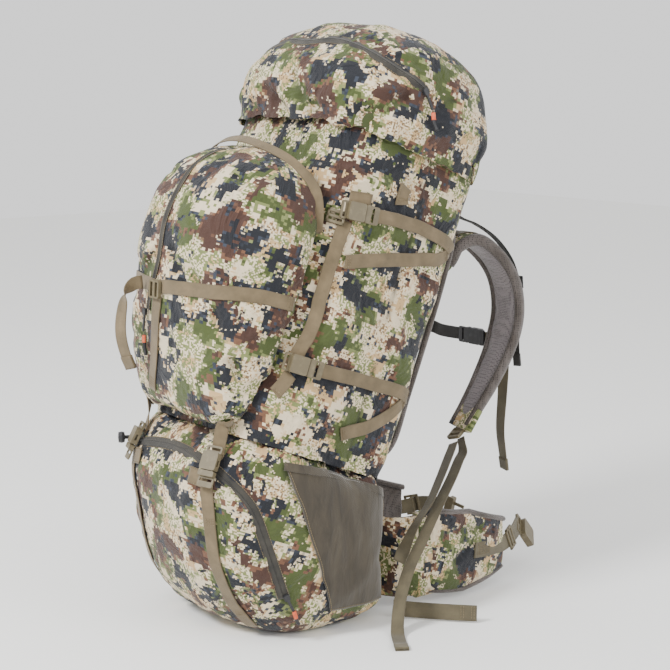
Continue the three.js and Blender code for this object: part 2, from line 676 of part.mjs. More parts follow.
const hipClip = () => {
  const arms = block(8, 30, -12.2, -7, 4, 7).add(block(8, 30, 7, 12.2, 4, 7));
  const body = plate(0, 10, WIDE, 0, 11, 2);
  const bar = plate(-14, 1, WIDE, 0, 4, 3).subtract(block(-10, -5, -14, 14, -1, 5));
  return toGeometry(body.add(arms).add(bar));
};
const hangRight = frameOf(v3(HIP_X - 54, 481, 66), v3(0.1, 0.9, -1), v3(0.75, 0.5, 0.4));
const hangLeft = frameOf(v3(-(HIP_X - 66), 474, 64), v3(1, 0.35, -0.25), v3(-0.3, 1, 0));
add('hip_buckle_right', hipHousing(), buckle(), hangRight);
add('hip_clip_left', hipClip(), buckle(), hangLeft);

export default pack;
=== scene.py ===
"""Looks of a large hunting backpack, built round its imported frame. Metres, +Z up."""
import math

import bmesh
import bpy
import numpy as np
from mathutils import Matrix, Vector, noise
from mathutils.bvhtree import BVHTree
from mathutils.kdtree import KDTree


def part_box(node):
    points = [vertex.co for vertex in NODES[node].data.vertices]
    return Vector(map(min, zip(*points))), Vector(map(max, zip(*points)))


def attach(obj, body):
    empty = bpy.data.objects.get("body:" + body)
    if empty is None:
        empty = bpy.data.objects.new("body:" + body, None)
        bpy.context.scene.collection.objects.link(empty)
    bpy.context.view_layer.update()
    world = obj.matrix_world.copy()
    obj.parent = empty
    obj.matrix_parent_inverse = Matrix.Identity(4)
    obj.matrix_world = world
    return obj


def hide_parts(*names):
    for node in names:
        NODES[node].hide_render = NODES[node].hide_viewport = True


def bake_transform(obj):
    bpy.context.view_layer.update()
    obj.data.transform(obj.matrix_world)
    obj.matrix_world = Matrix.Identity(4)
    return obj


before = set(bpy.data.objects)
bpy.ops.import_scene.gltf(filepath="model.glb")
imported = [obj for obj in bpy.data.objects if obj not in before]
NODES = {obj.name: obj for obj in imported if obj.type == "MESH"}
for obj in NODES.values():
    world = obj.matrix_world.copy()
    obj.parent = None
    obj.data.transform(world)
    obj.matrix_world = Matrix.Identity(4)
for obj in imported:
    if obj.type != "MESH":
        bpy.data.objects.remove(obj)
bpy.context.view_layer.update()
SIDES = (("right", 1), ("left", -1))

# ---- driving sizes, the same as the CAD part's ---------------------------------------
LEAN = math.radians(22)
KNEE = Vector((0, 0.148, 0.225))
LEAN_UP = Vector((0, math.sin(LEAN), math.cos(LEAN)))
LEAN_OUT = Vector((0, math.cos(LEAN), -math.sin(LEAN)))
HALF = 170
LID_HEM = 445
BAG_RIM = 474
WEB = 0.020
WIDE_WEB = 0.025
THIN_WEB = 0.012
WEB_THICK = 0.0016
UP = Vector((0, 0, 1))
STEP = 0.004


def at(x, y, z):
    """A point given in millimetres."""
    return Vector((x, y, z)) * 0.001


def lean(x, out, up):
    """A point given in millimetres from the knee of the back: across, out and up along it."""
    return KNEE + Vector((x, 0, 0)) * 0.001 + LEAN_OUT * out * 0.001 + LEAN_UP * up * 0.001


def flipped(route, side):
    return [Vector((p.x * side, p.y, p.z)) for p in route]


def around(half):
    """A route symmetric across the pack, from its right half, which starts in the middle."""
    return flipped(half, -1)[:0:-1] + list(half)


def smooth(route, step=STEP):
    """Points a step apart on a centripetal spline through the route."""
    knots = [np.array(p, float) for p in route]
    knots = [2 * knots[0] - knots[1], *knots, 2 * knots[-1] - knots[-2]]
    dense = []
    for a, b, c, d in zip(knots, knots[1:], knots[2:], knots[3:]):
        t = np.cumsum([0] + [math.sqrt(np.linalg.norm(q - p)) for p, q in ((a, b), (b, c), (c, d))])
        for s in np.linspace(t[1], t[2], 16, endpoint=False):
            ab = a + (b - a) * (s - t[0]) / (t[1] - t[0])
            bc = b + (c - b) * (s - t[1]) / (t[2] - t[1])
            cd = c + (d - c) * (s - t[2]) / (t[3] - t[2])
            abc = ab + (bc - ab) * (s - t[0]) / (t[2] - t[0])
            bcd = bc + (cd - bc) * (s - t[1]) / (t[3] - t[1])
            dense.append(abc + (bcd - abc) * (s - t[1]) / (t[2] - t[1]))
    dense = np.array(dense + [knots[-2]])
    run = np.concatenate(([0], np.cumsum(np.linalg.norm(np.diff(dense, axis=0), axis=1))))
    stops = np.linspace(0, run[-1], max(3, round(run[-1] / step) + 1))
    return [Vector(p) for p in np.stack([np.interp(stops, run, dense[:, k]) for k in range(3)], 1)]


def tangents(path):
    """The way that the path goes at each of its points."""
    last = len(path) - 1
    return [(path[min(i + 1, last)] - path[max(i - 1, 0)]).normalized() for i in range(last + 1)]


def tree_of(spots):
    """A search tree over the points."""
    tree = KDTree(len(spots))
    for i, p in enumerate(spots):
        tree.insert(p, i)
    tree.balance()
    return tree


# ---- camera and light ----------------------------------------------------------------
VIEW_AZ, VIEW_EL = math.radians(52), math.radians(9.6)
VIEW_DISTANCE = 2.48
VIEW_TARGET = Vector((0, 0.165, 0.410))
BACK = Vector((math.sin(VIEW_AZ) * math.cos(VIEW_EL), -math.cos(VIEW_AZ) * math.cos(VIEW_EL),
               math.sin(VIEW_EL)))
camera = bpy.data.objects.new("camera", bpy.data.cameras.new("camera"))
camera.data.lens = 85.97
camera.data.sensor_width = 36
camera.data.clip_end = 30
camera.location = VIEW_TARGET + BACK * VIEW_DISTANCE
camera.rotation_euler = BACK.to_track_quat("Z", "Y").to_euler()
bpy.context.scene.collection.objects.link(camera)
bpy.context.scene.camera = camera

world = bpy.data.worlds.new("studio")
world.use_nodes = True
world.node_tree.nodes["Background"].inputs["Color"].default_value = (1, 1, 1, 1)
world.node_tree.nodes["Background"].inputs["Strength"].default_value = 1.25
bpy.context.scene.world = world


def area_light(name, place, aim, size, power):
    light = bpy.data.lights.new(name, "AREA")
    light.shape = "DISK"
    light.size = size
    light.energy = power
    lamp = bpy.data.objects.new(name, light)
    lamp.location = place
    lamp.rotation_euler = (Vector(place) - Vector(aim)).to_track_quat("Z", "Y").to_euler()
    bpy.context.scene.collection.objects.link(lamp)


area_light("key", (0.1, -2.3, 2.4), (0, 0.1, 0.45), 0.8, 120)
area_light("fill", (2.6, 0.9, 1.5), (0, 0.2, 0.4), 1.6, 30)


# ---- materials -----------------------------------------------------------------------
class Shade:
    """A node material, built by short calls that return a node's output."""

    def __init__(self, name, roughness=0.9, metallic=0.0, specular=0.3, sheen=0.0):
        self.material = bpy.data.materials.new(name)
        self.material.use_nodes = True
        self.tree = self.material.node_tree
        self.shader = self.tree.nodes["Principled BSDF"]
        for socket, value in (("Roughness", roughness), ("Metallic", metallic),
                              ("Specular IOR Level", specular), ("Sheen Weight", sheen)):
            self.shader.inputs[socket].default_value = value

    def node(self, kind, inputs=(), output=0, **settings):
        made = self.tree.nodes.new(kind)
        for key, value in settings.items():
            setattr(made, key, value)
        for key, value in dict(inputs).items():
            self.feed(made.inputs[key], value)
        return made.outputs[output]

    def feed(self, socket, value):
        if isinstance(value, bpy.types.NodeSocket):
            self.tree.links.new(value, socket)
        else:
            socket.default_value = value

    def place(self, kind):
        return self.node("ShaderNodeTexCoord", output=kind)

    def math(self, operation, a, b=0.0, c=0.0):
        return self.node("ShaderNodeMath", {0: a, 1: b, 2: c}, operation=operation)

    def vector(self, operation, a, b=(0, 0, 0)):
        return self.node("ShaderNodeVectorMath", {0: a, 1: b}, operation=operation)

    def noise(self, where, scale, detail=2.0, rough=0.5, warp=0.0):
        return self.node("ShaderNodeTexNoise", {"Vector": where, "Scale": scale, "Detail": detail,
                                                "Roughness": rough, "Distortion": warp})

    def speck(self, where):
        return self.node("ShaderNodeTexWhiteNoise", {"Vector": where})

    def snapped(self, where, step):
        return self.vector("SNAP", where, (step, step, step))

    def ramp(self, value, low, high):
        return self.node("ShaderNodeMapRange", {0: value, 1: low, 2: high}, clamp=True)

    def mix(self, factor, a, b, blend="MIX"):
        made = self.tree.nodes.new("ShaderNodeMix")
        made.data_type = "RGBA"
        made.blend_type = blend
        for key, value in ((0, factor), (6, a), (7, b)):
            self.feed(made.inputs[key], value)
        return made.outputs[2]

    def attribute(self, name):
        return self.node("ShaderNodeAttribute", output=2, attribute_name=name)

    def finish(self, color, bump=None, strength=0.4, distance=0.001):
        self.feed(self.shader.inputs["Base Color"], color)
        if bump is not None:
            normal = self.node("ShaderNodeBump", {"Strength": strength, "Distance": distance,
                                                  "Height": bump})
            self.feed(self.shader.inputs["Normal"], normal)
        return self.material


def rgb(r, g, b):
    """A display colour from 0 to 255 as the linear colour that shaders take."""
    def linear(v):
        v /= 255
        return v / 12.92 if v < 0.04045 else ((v + 0.055) / 1.055) ** 2.4
    return (linear(r), linear(g), linear(b), 1)


CREAM, SAND, TAN = rgb(224, 207, 176), rgb(198, 165, 118), rgb(120, 96, 64)
GREEN, MOSS = rgb(68, 79, 34), rgb(120, 128, 76)
BROWN, RUST = rgb(68, 43, 33), rgb(110, 75, 54)
NAVY, SLATE = rgb(20, 23, 31), rgb(50, 57, 70)


def camo_cloth(name, cell=0.0042, shift=0.0):
    """Woven cloth printed with a generic square-pixel camouflage in six colours, with painted shade along
    its seams and folds.
    """
    s = Shade(name, roughness=0.62, specular=0.32, sheen=0.1)
    flat = s.vector("ADD", s.place("UV"), (shift, 0.7 * shift, 0))
    coarse, fine = s.snapped(flat, cell), s.snapped(flat, cell / 2)
    grain, block = s.speck(fine), s.speck(coarse)

    def patches(where, scale, offset, stray, amount):
        moved = s.vector("ADD", where, (offset, 2 * offset, 0))
        jump = s.math("MULTIPLY", s.math("SUBTRACT", stray, 0.5), amount)
        return s.math("ADD", s.noise(moved, scale, 2.5, 0.58), jump)

    def over(threshold, value, soft=0.003):
        return s.ramp(value, threshold - soft, threshold + soft)

    def stipple(where, threshold, share, tone, below):
        dots = s.math("GREATER_THAN", grain, share)
        return s.mix(s.math("MULTIPLY", over(threshold, where, 0.02), dots), below, tone)

    sandy, leafy = patches(fine, 20, 3.1, grain, 0.05), patches(fine, 16, 21.7, grain, 0.06)
    color = s.mix(over(0.57, patches(coarse, 26, 5.7, block, 0.06)), CREAM, SAND)
    color = stipple(sandy, 0.49, 0.52, SAND, color)
    color = stipple(sandy, 0.52, 0.74, TAN, color)
    color = stipple(leafy, 0.52, 0.46, MOSS, color)
    greens, browns = patches(coarse, 17, 8.2, block, 0.06), patches(coarse, 16, 11.9, block, 0.06)
    blues = patches(coarse, 22, 15.1, block, 0.07)
    color = s.mix(over(0.530, greens), color, MOSS)
    color = s.mix(over(0.550, greens), color, GREEN)
    color = s.mix(over(0.553, browns), color, RUST)
    color = s.mix(over(0.576, browns), color, BROWN)
    color = s.mix(over(0.553, blues), color, SLATE)
    color = s.mix(over(0.567, blues), color, NAVY)
    glint = s.math("ADD", s.noise(fine, 60, 2), s.math("MULTIPLY", grain, 0.2))
    light = s.math("GREATER_THAN", glint, 0.80)
    color = s.mix(s.math("MULTIPLY", light, 0.8), color, CREAM)
    # Painted shade: the seams and folds darkened towards a near-black brown
    color = s.mix(s.math("MULTIPLY", s.attribute("crease_shade"), 0.8), color, rgb(26, 25, 22))
    weave = s.math("ADD", s.node("ShaderNodeTexWave", {"Vector": flat, "Scale": 420.0}, output=1),
                   s.node("ShaderNodeTexWave", {"Vector": flat, "Scale": 420.0}, output=1,
                          bands_direction="Y"))
    crumple = s.noise(s.place("Object"), 26, 5, 0.6, 0.6)
    ridge = s.math("ABSOLUTE", s.math("SUBTRACT", s.noise(s.place("Object"), 15, 3, 0.55, 1.2), 0.5))
    height = s.math("ADD", s.math("MULTIPLY", weave, 0.04), s.math("MULTIPLY", crumple, 1.4))
    height = s.math("SUBTRACT", height, s.math("MULTIPLY", s.math("MINIMUM", ridge, 0.12), 5.0))
    return s.finish(color, height, 0.75, 0.006)


def webbing_cloth(name, base, dark):
    """Ribbed nylon webbing: UV x runs across it and UV y along it, in metres."""
    s = Shade(name, roughness=0.72, specular=0.35, sheen=0.2)
    flat = s.place("UV")
    ribs = s.node("ShaderNodeTexWave", {"Vector": flat, "Scale": 190.0}, output=1)
    picks = s.node("ShaderNodeTexWave", {"Vector": flat, "Scale": 260.0}, output=1,
                   bands_direction="Y")
    tone = s.noise(s.place("Object"), 35, 4, 0.6)
    fibre = s.noise(s.vector("MULTIPLY", flat, (900, 60, 1)), 1.0, 2)
    color = s.mix(s.ramp(tone, 0.3, 0.75), base, dark)
    color = s.mix(s.math("MULTIPLY", fibre, 0.35), color, dark)
    color = s.mix(s.math("MULTIPLY", ribs, 0.22), color, dark)
    color = s.mix(s.math("MULTIPLY", s.attribute("edge"), 0.45), color, dark)
    height = s.math("ADD", ribs, s.math("MULTIPLY", picks, 0.6))
    return s.finish(color, height, 0.5, 0.0004)


def knit_cloth(name, base, painted_shade_color, pitch):
    """Open spacer mesh over foam, with small holes at an even pitch; the holes and the creases are painted
    dark as painted shade.
    """
    s = Shade(name, roughness=0.85, specular=0.3, sheen=0.3)
    where = s.place("Object")
    cell = s.node("ShaderNodeTexVoronoi", {"Vector": where, "Scale": 1 / pitch, "Randomness": 0.25})
    hole_shade = s.ramp(cell, 0.42, 0.22)
    tone = s.noise(where, 22, 3)
    color = s.mix(s.math("MULTIPLY", s.ramp(tone, 0.3, 0.8), 0.4), base, rgb(150, 142, 140))
    # Painted shade: the holes and the creases darkened towards the shade colour
    color = s.mix(s.math("MULTIPLY", hole_shade, 0.85), color, painted_shade_color)
    color = s.mix(s.math("MULTIPLY", s.attribute("crease_shade"), 0.6), color, painted_shade_color)
    return s.finish(color, cell, 0.8, 0.0012)


def stretch_cloth(name, base, dark):
    """Fine stretch twill with faint drawn folds, painted darker as painted shade, and painted shade in its
    creases.
    """
    s = Shade(name, roughness=0.8, specular=0.25, sheen=0.35)
    where = s.place("Object")
    twill = s.node("ShaderNodeTexWave", {"Vector": where, "Scale": 300.0}, output=1,
                   bands_direction="DIAGONAL")
    drawn = s.noise(s.vector("MULTIPLY", where, (20, 60, 16)), 1.0, 4, 0.6, 0.5)
    # Painted shade: the colour darkens along the drawn folds
    color = s.mix(s.ramp(drawn, 0.3, 0.75), base, dark)
    color = s.mix(s.math("MULTIPLY", twill, 0.25), color, dark)
    # Painted shade: the creases darkened towards a near-black brown
    color = s.mix(s.math("MULTIPLY", s.attribute("crease_shade"), 0.7), color, rgb(30, 28, 24))
    height = s.math("ADD", s.math("MULTIPLY", twill, 0.15), drawn)
    return s.finish(color, height, 0.6, 0.003)


def moulded(name, base, worn, roughness=0.45):
    """Moulded plastic with a fine grain and slightly paler rubbed places."""
    s = Shade(name, roughness=roughness, specular=0.5)
    where = s.place("Object")
    rubbed = s.ramp(s.noise(where, 120, 4, 0.65), 0.5, 0.8)
    color = s.mix(rubbed, base, worn)
    grain = s.noise(where, 2600, 2)
    rough = s.node("ShaderNodeMapRange",
                   {0: s.noise(where, 180, 3), 3: roughness - 0.1, 4: roughness + 0.15})
    s.feed(s.shader.inputs["Roughness"], rough)
    return s.finish(color, grain, 0.25, 0.0003)


CAMO = camo_cloth("camo_cloth")
CAMO_LID = camo_cloth("camo_cloth_lid", shift=1.37)
CAMO_POCKET = camo_cloth("camo_cloth_pocket", shift=2.91)
CAMO_BASE = camo_cloth("camo_cloth_base", shift=4.43)
CAMO_BELT = camo_cloth("camo_cloth_belt", shift=6.17)
KHAKI = webbing_cloth("webbing", rgb(130, 112, 83), rgb(86, 74, 52))
OLIVE = webbing_cloth("webbing_harness", rgb(108, 99, 75), rgb(74, 67, 50))
BLACK_WEB = webbing_cloth("webbing_dark", rgb(48, 45, 42), rgb(26, 25, 25))
ZIP_TAPE = webbing_cloth("zip_tape", rgb(74, 70, 61), rgb(24, 23, 22))
# A knit's second colour is the painted shade of its holes and creases
MESH = knit_cloth("pad_mesh", rgb(128, 121, 123), rgb(52, 47, 49), 0.0026)
DARK_MESH = knit_cloth("pad_mesh_dark", rgb(66, 58, 52), rgb(24, 21, 20), 0.0028)
STRETCH = stretch_cloth("dark_cloth", rgb(76, 68, 54), rgb(48, 42, 33))
BUCKLE = moulded("buckle_plastic", rgb(98, 88, 65), rgb(120, 109, 83))
BLACK = moulded("black_plastic", rgb(30, 30, 33), rgb(56, 56, 60))
ORANGE = moulded("orange_thread", rgb(206, 92, 58), rgb(226, 130, 96), 0.8)
THREAD = moulded("thread", rgb(122, 108, 82), rgb(150, 136, 108), 0.9)


# ---- mesh tools ----------------------------------------------------------------------
def link(name, mesh, *materials):
    piece = bpy.data.objects.new(name, mesh)
    for material in materials:
        mesh.materials.append(material)
    bpy.context.scene.collection.objects.link(piece)
    return piece


def shade_smooth(mesh):
    mesh.polygons.foreach_set("use_smooth", [True] * len(mesh.polygons))


def settled(piece):
    """Puts what the modifiers make in the piece's own mesh and clears them."""
    graph = bpy.context.evaluated_depsgraph_get()
    made = bpy.data.meshes.new_from_object(piece.evaluated_get(graph), depsgraph=graph)
    piece.modifiers.clear()
    piece.data = made
    return piece


def places(mesh):
    """The mesh's points as a table."""
    flat = np.empty(len(mesh.vertices) * 3, np.float32)
    mesh.vertices.foreach_get("co", flat)
    return flat.reshape(-1, 3).astype(float)


def put_places(mesh, points):
    mesh.vertices.foreach_set("co", np.asarray(points, np.float32).ravel())
    mesh.update()


def normals(mesh):
    flat = np.empty(len(mesh.vertices) * 3, np.float32)
    mesh.vertex_normals.foreach_get("vector", flat)
    return flat.reshape(-1, 3).astype(float)


def mark(mesh, name, values):
    """A value for each point, which a material reads by its name."""
    layer = mesh.attributes.new(name, "FLOAT", "POINT")
    layer.data.foreach_set("value", np.asarray(values, np.float32))


def joint_mesh(name, points, faces, uvs=None, edges=None):
    """A mesh of points and faces, with a UV for each point and how near its edge it is."""
    mesh = bpy.data.meshes.new(name)
    mesh.from_pydata([tuple(p) for p in points], [], faces)
    if uvs is not None:
        layer = mesh.uv_layers.new(name="cloth")
        corners = np.empty(len(mesh.loops), np.int32)
        mesh.loops.foreach_get("vertex_index", corners)
        layer.data.foreach_set("uv", np.asarray(uvs, np.float32)[corners].ravel())
    if edges is not None:
        mark(mesh, "edge", edges)
    shade_smooth(mesh)
    return mesh


STRAP_SECTION = ((-0.5, 0.35, 1), (-0.485, 0, 1), (-0.42, 0, 0.4), (0, 0, 0), (0.42, 0, 0.4),
                 (0.485, 0, 1), (0.5, 0.35, 1), (0.5, 0.65, 1), (0.485, 1, 1), (0.42, 1, 0.4),
                 (0, 1.0, 0), (-0.42, 1, 0.4), (-0.485, 1, 1), (-0.5, 0.65, 1))
ZIP_SECTION = ((-0.5, 0, 1), (0.5, 0, 1), (0.46, 0.35, 0.6), (0.3, 0.5, 0.2), (0.12, 0.75, 0),
               (0.05, 1.1, 0.2), (0.015, 0.95, 1), (0, 0.6, 1), (-0.015, 0.95, 1),
               (-0.05, 1.1, 0.2), (-0.12, 0.75, 0), (-0.3, 0.5, 0.2), (-0.46, 0.35, 0.6))
CORD_SECTION = tuple((0.5 * math.cos(k * math.pi / 4), 0.5 + 0.5 * math.sin(k * math.pi / 4), 0.3)
                     for k in range(8))


def strip(name, path, facing, width=WEB, thick=WEB_THICK, section=STRAP_SECTION,
          material=None, narrow=None):
    """A strip along path. facing is the way its outer face looks, one for each point or
    one for all, and narrow(share) scales the width along it."""
    count, last = len(section), len(path) - 1
    points, uvs, edges, faces = [], [], [], []
    run = 0.0
    for i, (point, along) in enumerate(zip(path, tangents(path))):
        out = Vector(facing[i] if isinstance(facing, list) else facing)
        out = (out - along * out.dot(along)).normalized()
        side = along.cross(out)
        run += (point - path[i - 1]).length if i else 0
        size = width * (narrow(i / last) if narrow else 1)
        for across, lift, edge in section:
            points.append(point + side * across * size + out * lift * thick)
            uvs.append((across * size, run))
            edges.append(edge)
    for i in range(last):
        for k in range(count):
            a, b = i * count + k, i * count + (k + 1) % count
            faces.append((a, a + count, b + count, b))
    faces.append(tuple(range(count)))
    faces.append(tuple(last * count + k for k in reversed(range(count))))
    return link(name, joint_mesh(name, points, faces, uvs, edges), material or KHAKI)


def handed(piece, body, node=None):
    """Parents the piece to its body's empty and hides the node that it stands for. body is a name, or two
    names with where the bend between them starts and ends, and then the piece is only baked in place."""
    if isinstance(body, str):
        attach(piece, body)
    else:
        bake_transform(piece)
    if node:
        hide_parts(node)
    return piece


def blended(first, second, count):
    return [Vector(first).lerp(Vector(second), k / (count - 1)) for k in range(count)]


class Cloth:
    """What flat pieces are laid on: the outer faces of one or more finished pieces."""

    def __init__(self, *pieces):
        points, faces = [], []
        for piece in pieces:
            start = len(points)
            points += [v.co.copy() for v in piece.data.vertices]
            faces += [[start + k for k in p.vertices] for p in piece.data.polygons]
        self.tree = BVHTree.FromPolygons(points, faces)

    def nearest(self, point):
        place, normal, _, _ = self.tree.find_nearest(point)
        return place, normal

    def laid(self, route, lift, calm=6):
        """The route dropped on the cloth, smoothed, with the way that the cloth faces."""
        found = [self.nearest(p) for p in smooth(route)]
        out = calmed([n for _, n in found], calm)
        base = calmed([p for p, _ in found], calm // 2)
        return [p + n.normalized() * lift for p, n in zip(base, out)], out


def calmed(values, reach):
    """Each value averaged with its neighbours, the ends kept."""
    table = np.array([tuple(v) for v in values])
    result = table.copy()
    for i in range(len(table)):
        r = min(reach, i, len(table) - 1 - i)
        result[i] = table[i - r:i + r + 1].mean(0)
    return [Vector(v) for v in result]


def seam_tree(routes, step=0.003):
    return tree_of([p for route in routes for p in smooth(route, step)])


def distances(points, tree):
    return np.array([tree.find(Vector(p))[2] for p in points])


def soft_copy(name, node, voxel=0.006, calm=10):
    """A remeshed and slightly rounded copy of a CAD node."""
    work = bmesh.new()
    work.from_mesh(NODES[node].data)
    bmesh.ops.remove_doubles(work, verts=work.verts, dist=1e-5)
    mesh = bpy.data.meshes.new(name)
    work.to_mesh(mesh)
    work.free()
    piece = link(name, mesh)
    remesh = piece.modifiers.new("remesh", "REMESH")
    remesh.mode = "VOXEL"
    remesh.voxel_size = voxel
    smoothing = piece.modifiers.new("smooth", "SMOOTH")
    smoothing.iterations = calm
    return settled(piece)


def inflate(piece, held, cap, swell=0.04, pressure=4.0, frames=20):
    """Blows cloth up from inside, held along its seams and under its webbing.
    held is a list of (tree, full, free): held within full of the tree, free beyond free."""
    start = places(piece.data)
    hold = np.zeros(len(start))
    for tree, full, free in held:
        far = distances(start, tree)
        hold = np.maximum(hold, np.clip((free - far) / (free - full), 0, 1))
    group = piece.vertex_groups.new(name="held")
    for i, weight in enumerate(hold):
        if weight > 0.01:
            group.add([i], float(weight), "REPLACE")
    cloth = piece.modifiers.new("cloth", "CLOTH")
    settings = cloth.settings
    settings.quality = 5
    settings.mass = 0.25
    settings.tension_stiffness = settings.compression_stiffness = 14
    settings.bending_stiffness = 0.08
    settings.shear_stiffness = 4
    settings.use_pressure = True
    settings.uniform_pressure_force = pressure
    settings.shrink_min = -swell
    settings.vertex_group_mass = "held"
    settings.pin_stiffness = 1.0
    settings.effector_weights.gravity = 0
    cloth.collision_settings.use_collision = False
    scene = bpy.context.scene
    cloth.point_cache.frame_start = 1
    cloth.point_cache.frame_end = frames
    for step in range(1, frames + 1):
        scene.frame_set(step)
    settled(piece)
    scene.frame_set(1)
    move = places(piece.data) - start
    size = np.linalg.norm(move, axis=1, keepdims=True) + 1e-9
    put_places(piece.data, start + move * (cap * np.tanh(size / cap) / size))
    piece.vertex_groups.clear()
    return piece


def subdivided(piece):
    finer = piece.modifiers.new("finer", "SUBSURF")
    finer.levels = finer.render_levels = 1
    settled(piece)
    shade_smooth(piece.data)


def rounded(piece, width):
    """Rounds the piece's sharp edges."""
    bevel = piece.modifiers.new("edges", "BEVEL")
    bevel.width = width
    bevel.segments = 2
    return bevel


def creased(piece, seams, depth=0.0016, reach=0.0035, folds=()):
    """Presses the seams into the cloth, with softer folds beside, and marks painted shade along them for
    the materials to darken.
    """
    points, out = places(piece.data), normals(piece.data)
    # dark holds each point's painted shade along the seams and folds
    dark = np.zeros(len(points))
    for routes, deep, wide, shade in ((seams, depth, reach, 0.9), *folds):
        if routes:
            near = np.exp(-(distances(points, seam_tree(routes)) / wide) ** 2)
            points = points - out * (near * deep)[:, None]
            dark = np.maximum(dark, near * shade)
    put_places(piece.data, points)
    mark(piece.data, "crease_shade", dark)
    return piece


def wrinkled(piece, size, height, stretch=(1, 1, 1), seed=0.0, keep=None):
    """Small folds in the cloth, from ridged noise along the surface's own normals."""
    points, out = places(piece.data), normals(piece.data)
    scale = Vector(stretch) / size
    lift = np.array([
        1 - 2 * abs(noise.noise(Vector((p[0] * scale.x + seed, p[1] * scale.y, p[2] * scale.z))))
        for p in points]) - 0.55
    if keep is not None:
        lift *= keep(points)
    put_places(piece.data, points + out * (lift * height)[:, None])
    return piece


def flat_map(piece):
    """Lays the print on panels: each face by the side of the bag that it looks to."""
    mesh = piece.data
    layer = mesh.uv_layers.new(name="cloth")
    turn = Matrix((Vector((1, 0, 0)), LEAN_OUT, LEAN_UP))
    points = (places(mesh) - np.array(KNEE)) @ np.array(turn).T
    uvs = np.zeros((len(mesh.loops), 2), np.float32)
    pairs = ((1, 2), (0, 2), (0, 1))
    for face in mesh.polygons:
        away = turn @ face.normal
        axis = max(range(3), key=lambda k: abs(away[k]) * (1, 1.15, 0.95)[k])
        u, v = pairs[axis]
        for loop in face.loop_indices:
            p = points[mesh.loops[loop].vertex_index]
            uvs[loop] = (p[u] + 2.3 * axis, p[v] + 0.7 * axis)
    layer.data.foreach_set("uv", uvs.ravel())
    return piece


# ---- free webbing --------------------------------------------------------------------
FOLD_LENGTH = 0.022


def facing_of(path, first, last):
    """Outward directions of a strip whose width turns from one direction to another."""
    sides = blended(first, last, len(path))
    return [along.cross(side).normalized() for along, side in zip(tangents(path), sides)]


def folded_end(name, path, facing, width, body, material):
    """The end of a strap, folded over twice and sewn down."""
    count = round(FOLD_LENGTH / STEP)
    end, out = path[-count:], facing[-count:]
    low = [p - o.normalized() * WEB_THICK for p, o in zip(end, out)]
    return handed(strip(name, low, out, width * 1.02, 3 * WEB_THICK, material=material), body)


def free_tail(name, route, first, last, body, node=None, width=WEB, material=OLIVE):
    """A loose strap end: its path, turning as it hangs, with a folded end."""
    path = smooth(route)
    facing = facing_of(path, first, last)
    piece = handed(strip(name, path, facing, width, material=material), body, node)
    fold = folded_end(name + "_fold", path, facing, width, body, material)


free_tail("front_tail",
          [at(-34, -158, 516), at(-40, -168, 514), at(-46, -178, 500), at(-50, -184, 472),
           at(-52, -185, 442), at(-50, -180, 414), at(-46, -172, 390)],
          (0.2, 0.1, 1), (1, 0.3, 0), "pack", "front_strap_tail", material=KHAKI)
TAIL_TOP = [at(104, 337, 241), at(114, 332, 222), at(124, 314, 210), at(140, 286, 192), at(162, 240, 162)]
TAIL_ROUTES = {
    "right": TAIL_TOP + [at(184, 190, 123), at(196, 151, 84), at(205, 128, 48), at(213, 116, 20),
                         at(224, 106, 5), at(244, 92, 2.2), at(262, 80, 2.2), at(276, 71, 2.2)],
    "left": flipped(TAIL_TOP, -1) + [at(-186, 194, 122), at(-196, 160, 84), at(-200, 140, 48),
                                     at(-203, 132, 16)],
}
LIFTER_TOP = [lean(76, 27, 420), at(80, 352, 588), at(92, 372, 578), at(104, 402, 556),
              at(110, 432, 520), at(113, 447, 484)]
LIFTER_TAIL = [at(113, 448, 480), at(117, 448, 450), at(120, 442, 416), at(122, 437, 384),
               at(122, 441, 348)]
for name, side in SIDES:
    swing = ("pack", f"shoulder_{name}", at(side * 186, 190, 120), at(side * 118, 326, 218))
    free_tail(f"shoulder_webbing_tail_{name}", TAIL_ROUTES[name], (0.85 * side, -0.15, 0),
              (0.75 * side, 0.5, 0), swing, f"shoulder_tail_{name}")
    free_tail(f"lifter_tail_{name}", flipped(LIFTER_TAIL, side), (1, 0, 0), (0.9, 0.3, 0),
              f"shoulder_{name}", width=THIN_WEB, material=BLACK_WEB)
free_tail("sternum_webbing_tail",
          [at(94, 436, 366), at(98, 434, 345), at(99, 431, 298), at(97, 430, 239), at(95, 438, 200),
           at(94, 444, 172)],
          (0.9, 0.2, 0), (0.97, -0.2, 0), "sternum_right", "sternum_tail")

# ---- the bags ------------------------------------------------------------------------
ON_SIDE = {
    "upper": [(-190, 340.5), (-150, 347.5), (-80, 352), (-24, 346), (-8, 340)],
    "upper_back": [(-8, 336), (-30, 326), (-90, 306), (-216, 264)],
    "lower": [(-204, 107), (-110, 114), (-24, 116), (-8, 112)],
    "lower_back": [(-8, 108), (-28, 96), (-70, 60), (-128, 30)],
    "diagonal": [(-240, 322), (-244, 221), (-250, 124), (-254, 100)],
}
ZIP_BASE = [at(0, -133, 279), at(33, -134, 278), at(103, -130, 262), at(148, -102, 217),
            at(157, -78, 149), at(158, -52, 74)]
ZIP_LID = [at(2, 113, 858), at(58, 120, 859), at(113, 126, 847), at(158, 150, 820),
           at(175, 186, 792), at(178, 190, 784)]
ZIP_POCKET = [lean(-4, -350, 378), lean(-5, -362, 365), lean(-10, -384, 337), lean(-11, -398, 294),
              lean(-11, -402, 248), lean(-9, -398, 204), lean(-14, -390, 168), lean(-26, -380, 140),
              lean(-31, -372, 122)]
FRONT_HALF = [lean(0, -398, 151), lean(70, -380, 160), lean(120, -325, 174), lean(140, -262, 184)]
CENTRE = [lean(2, -396, 138), lean(-8, -380, 90), lean(-28, -345, 40), lean(-36, -322, 12)]
FRONT_BUCKLE_X = 104


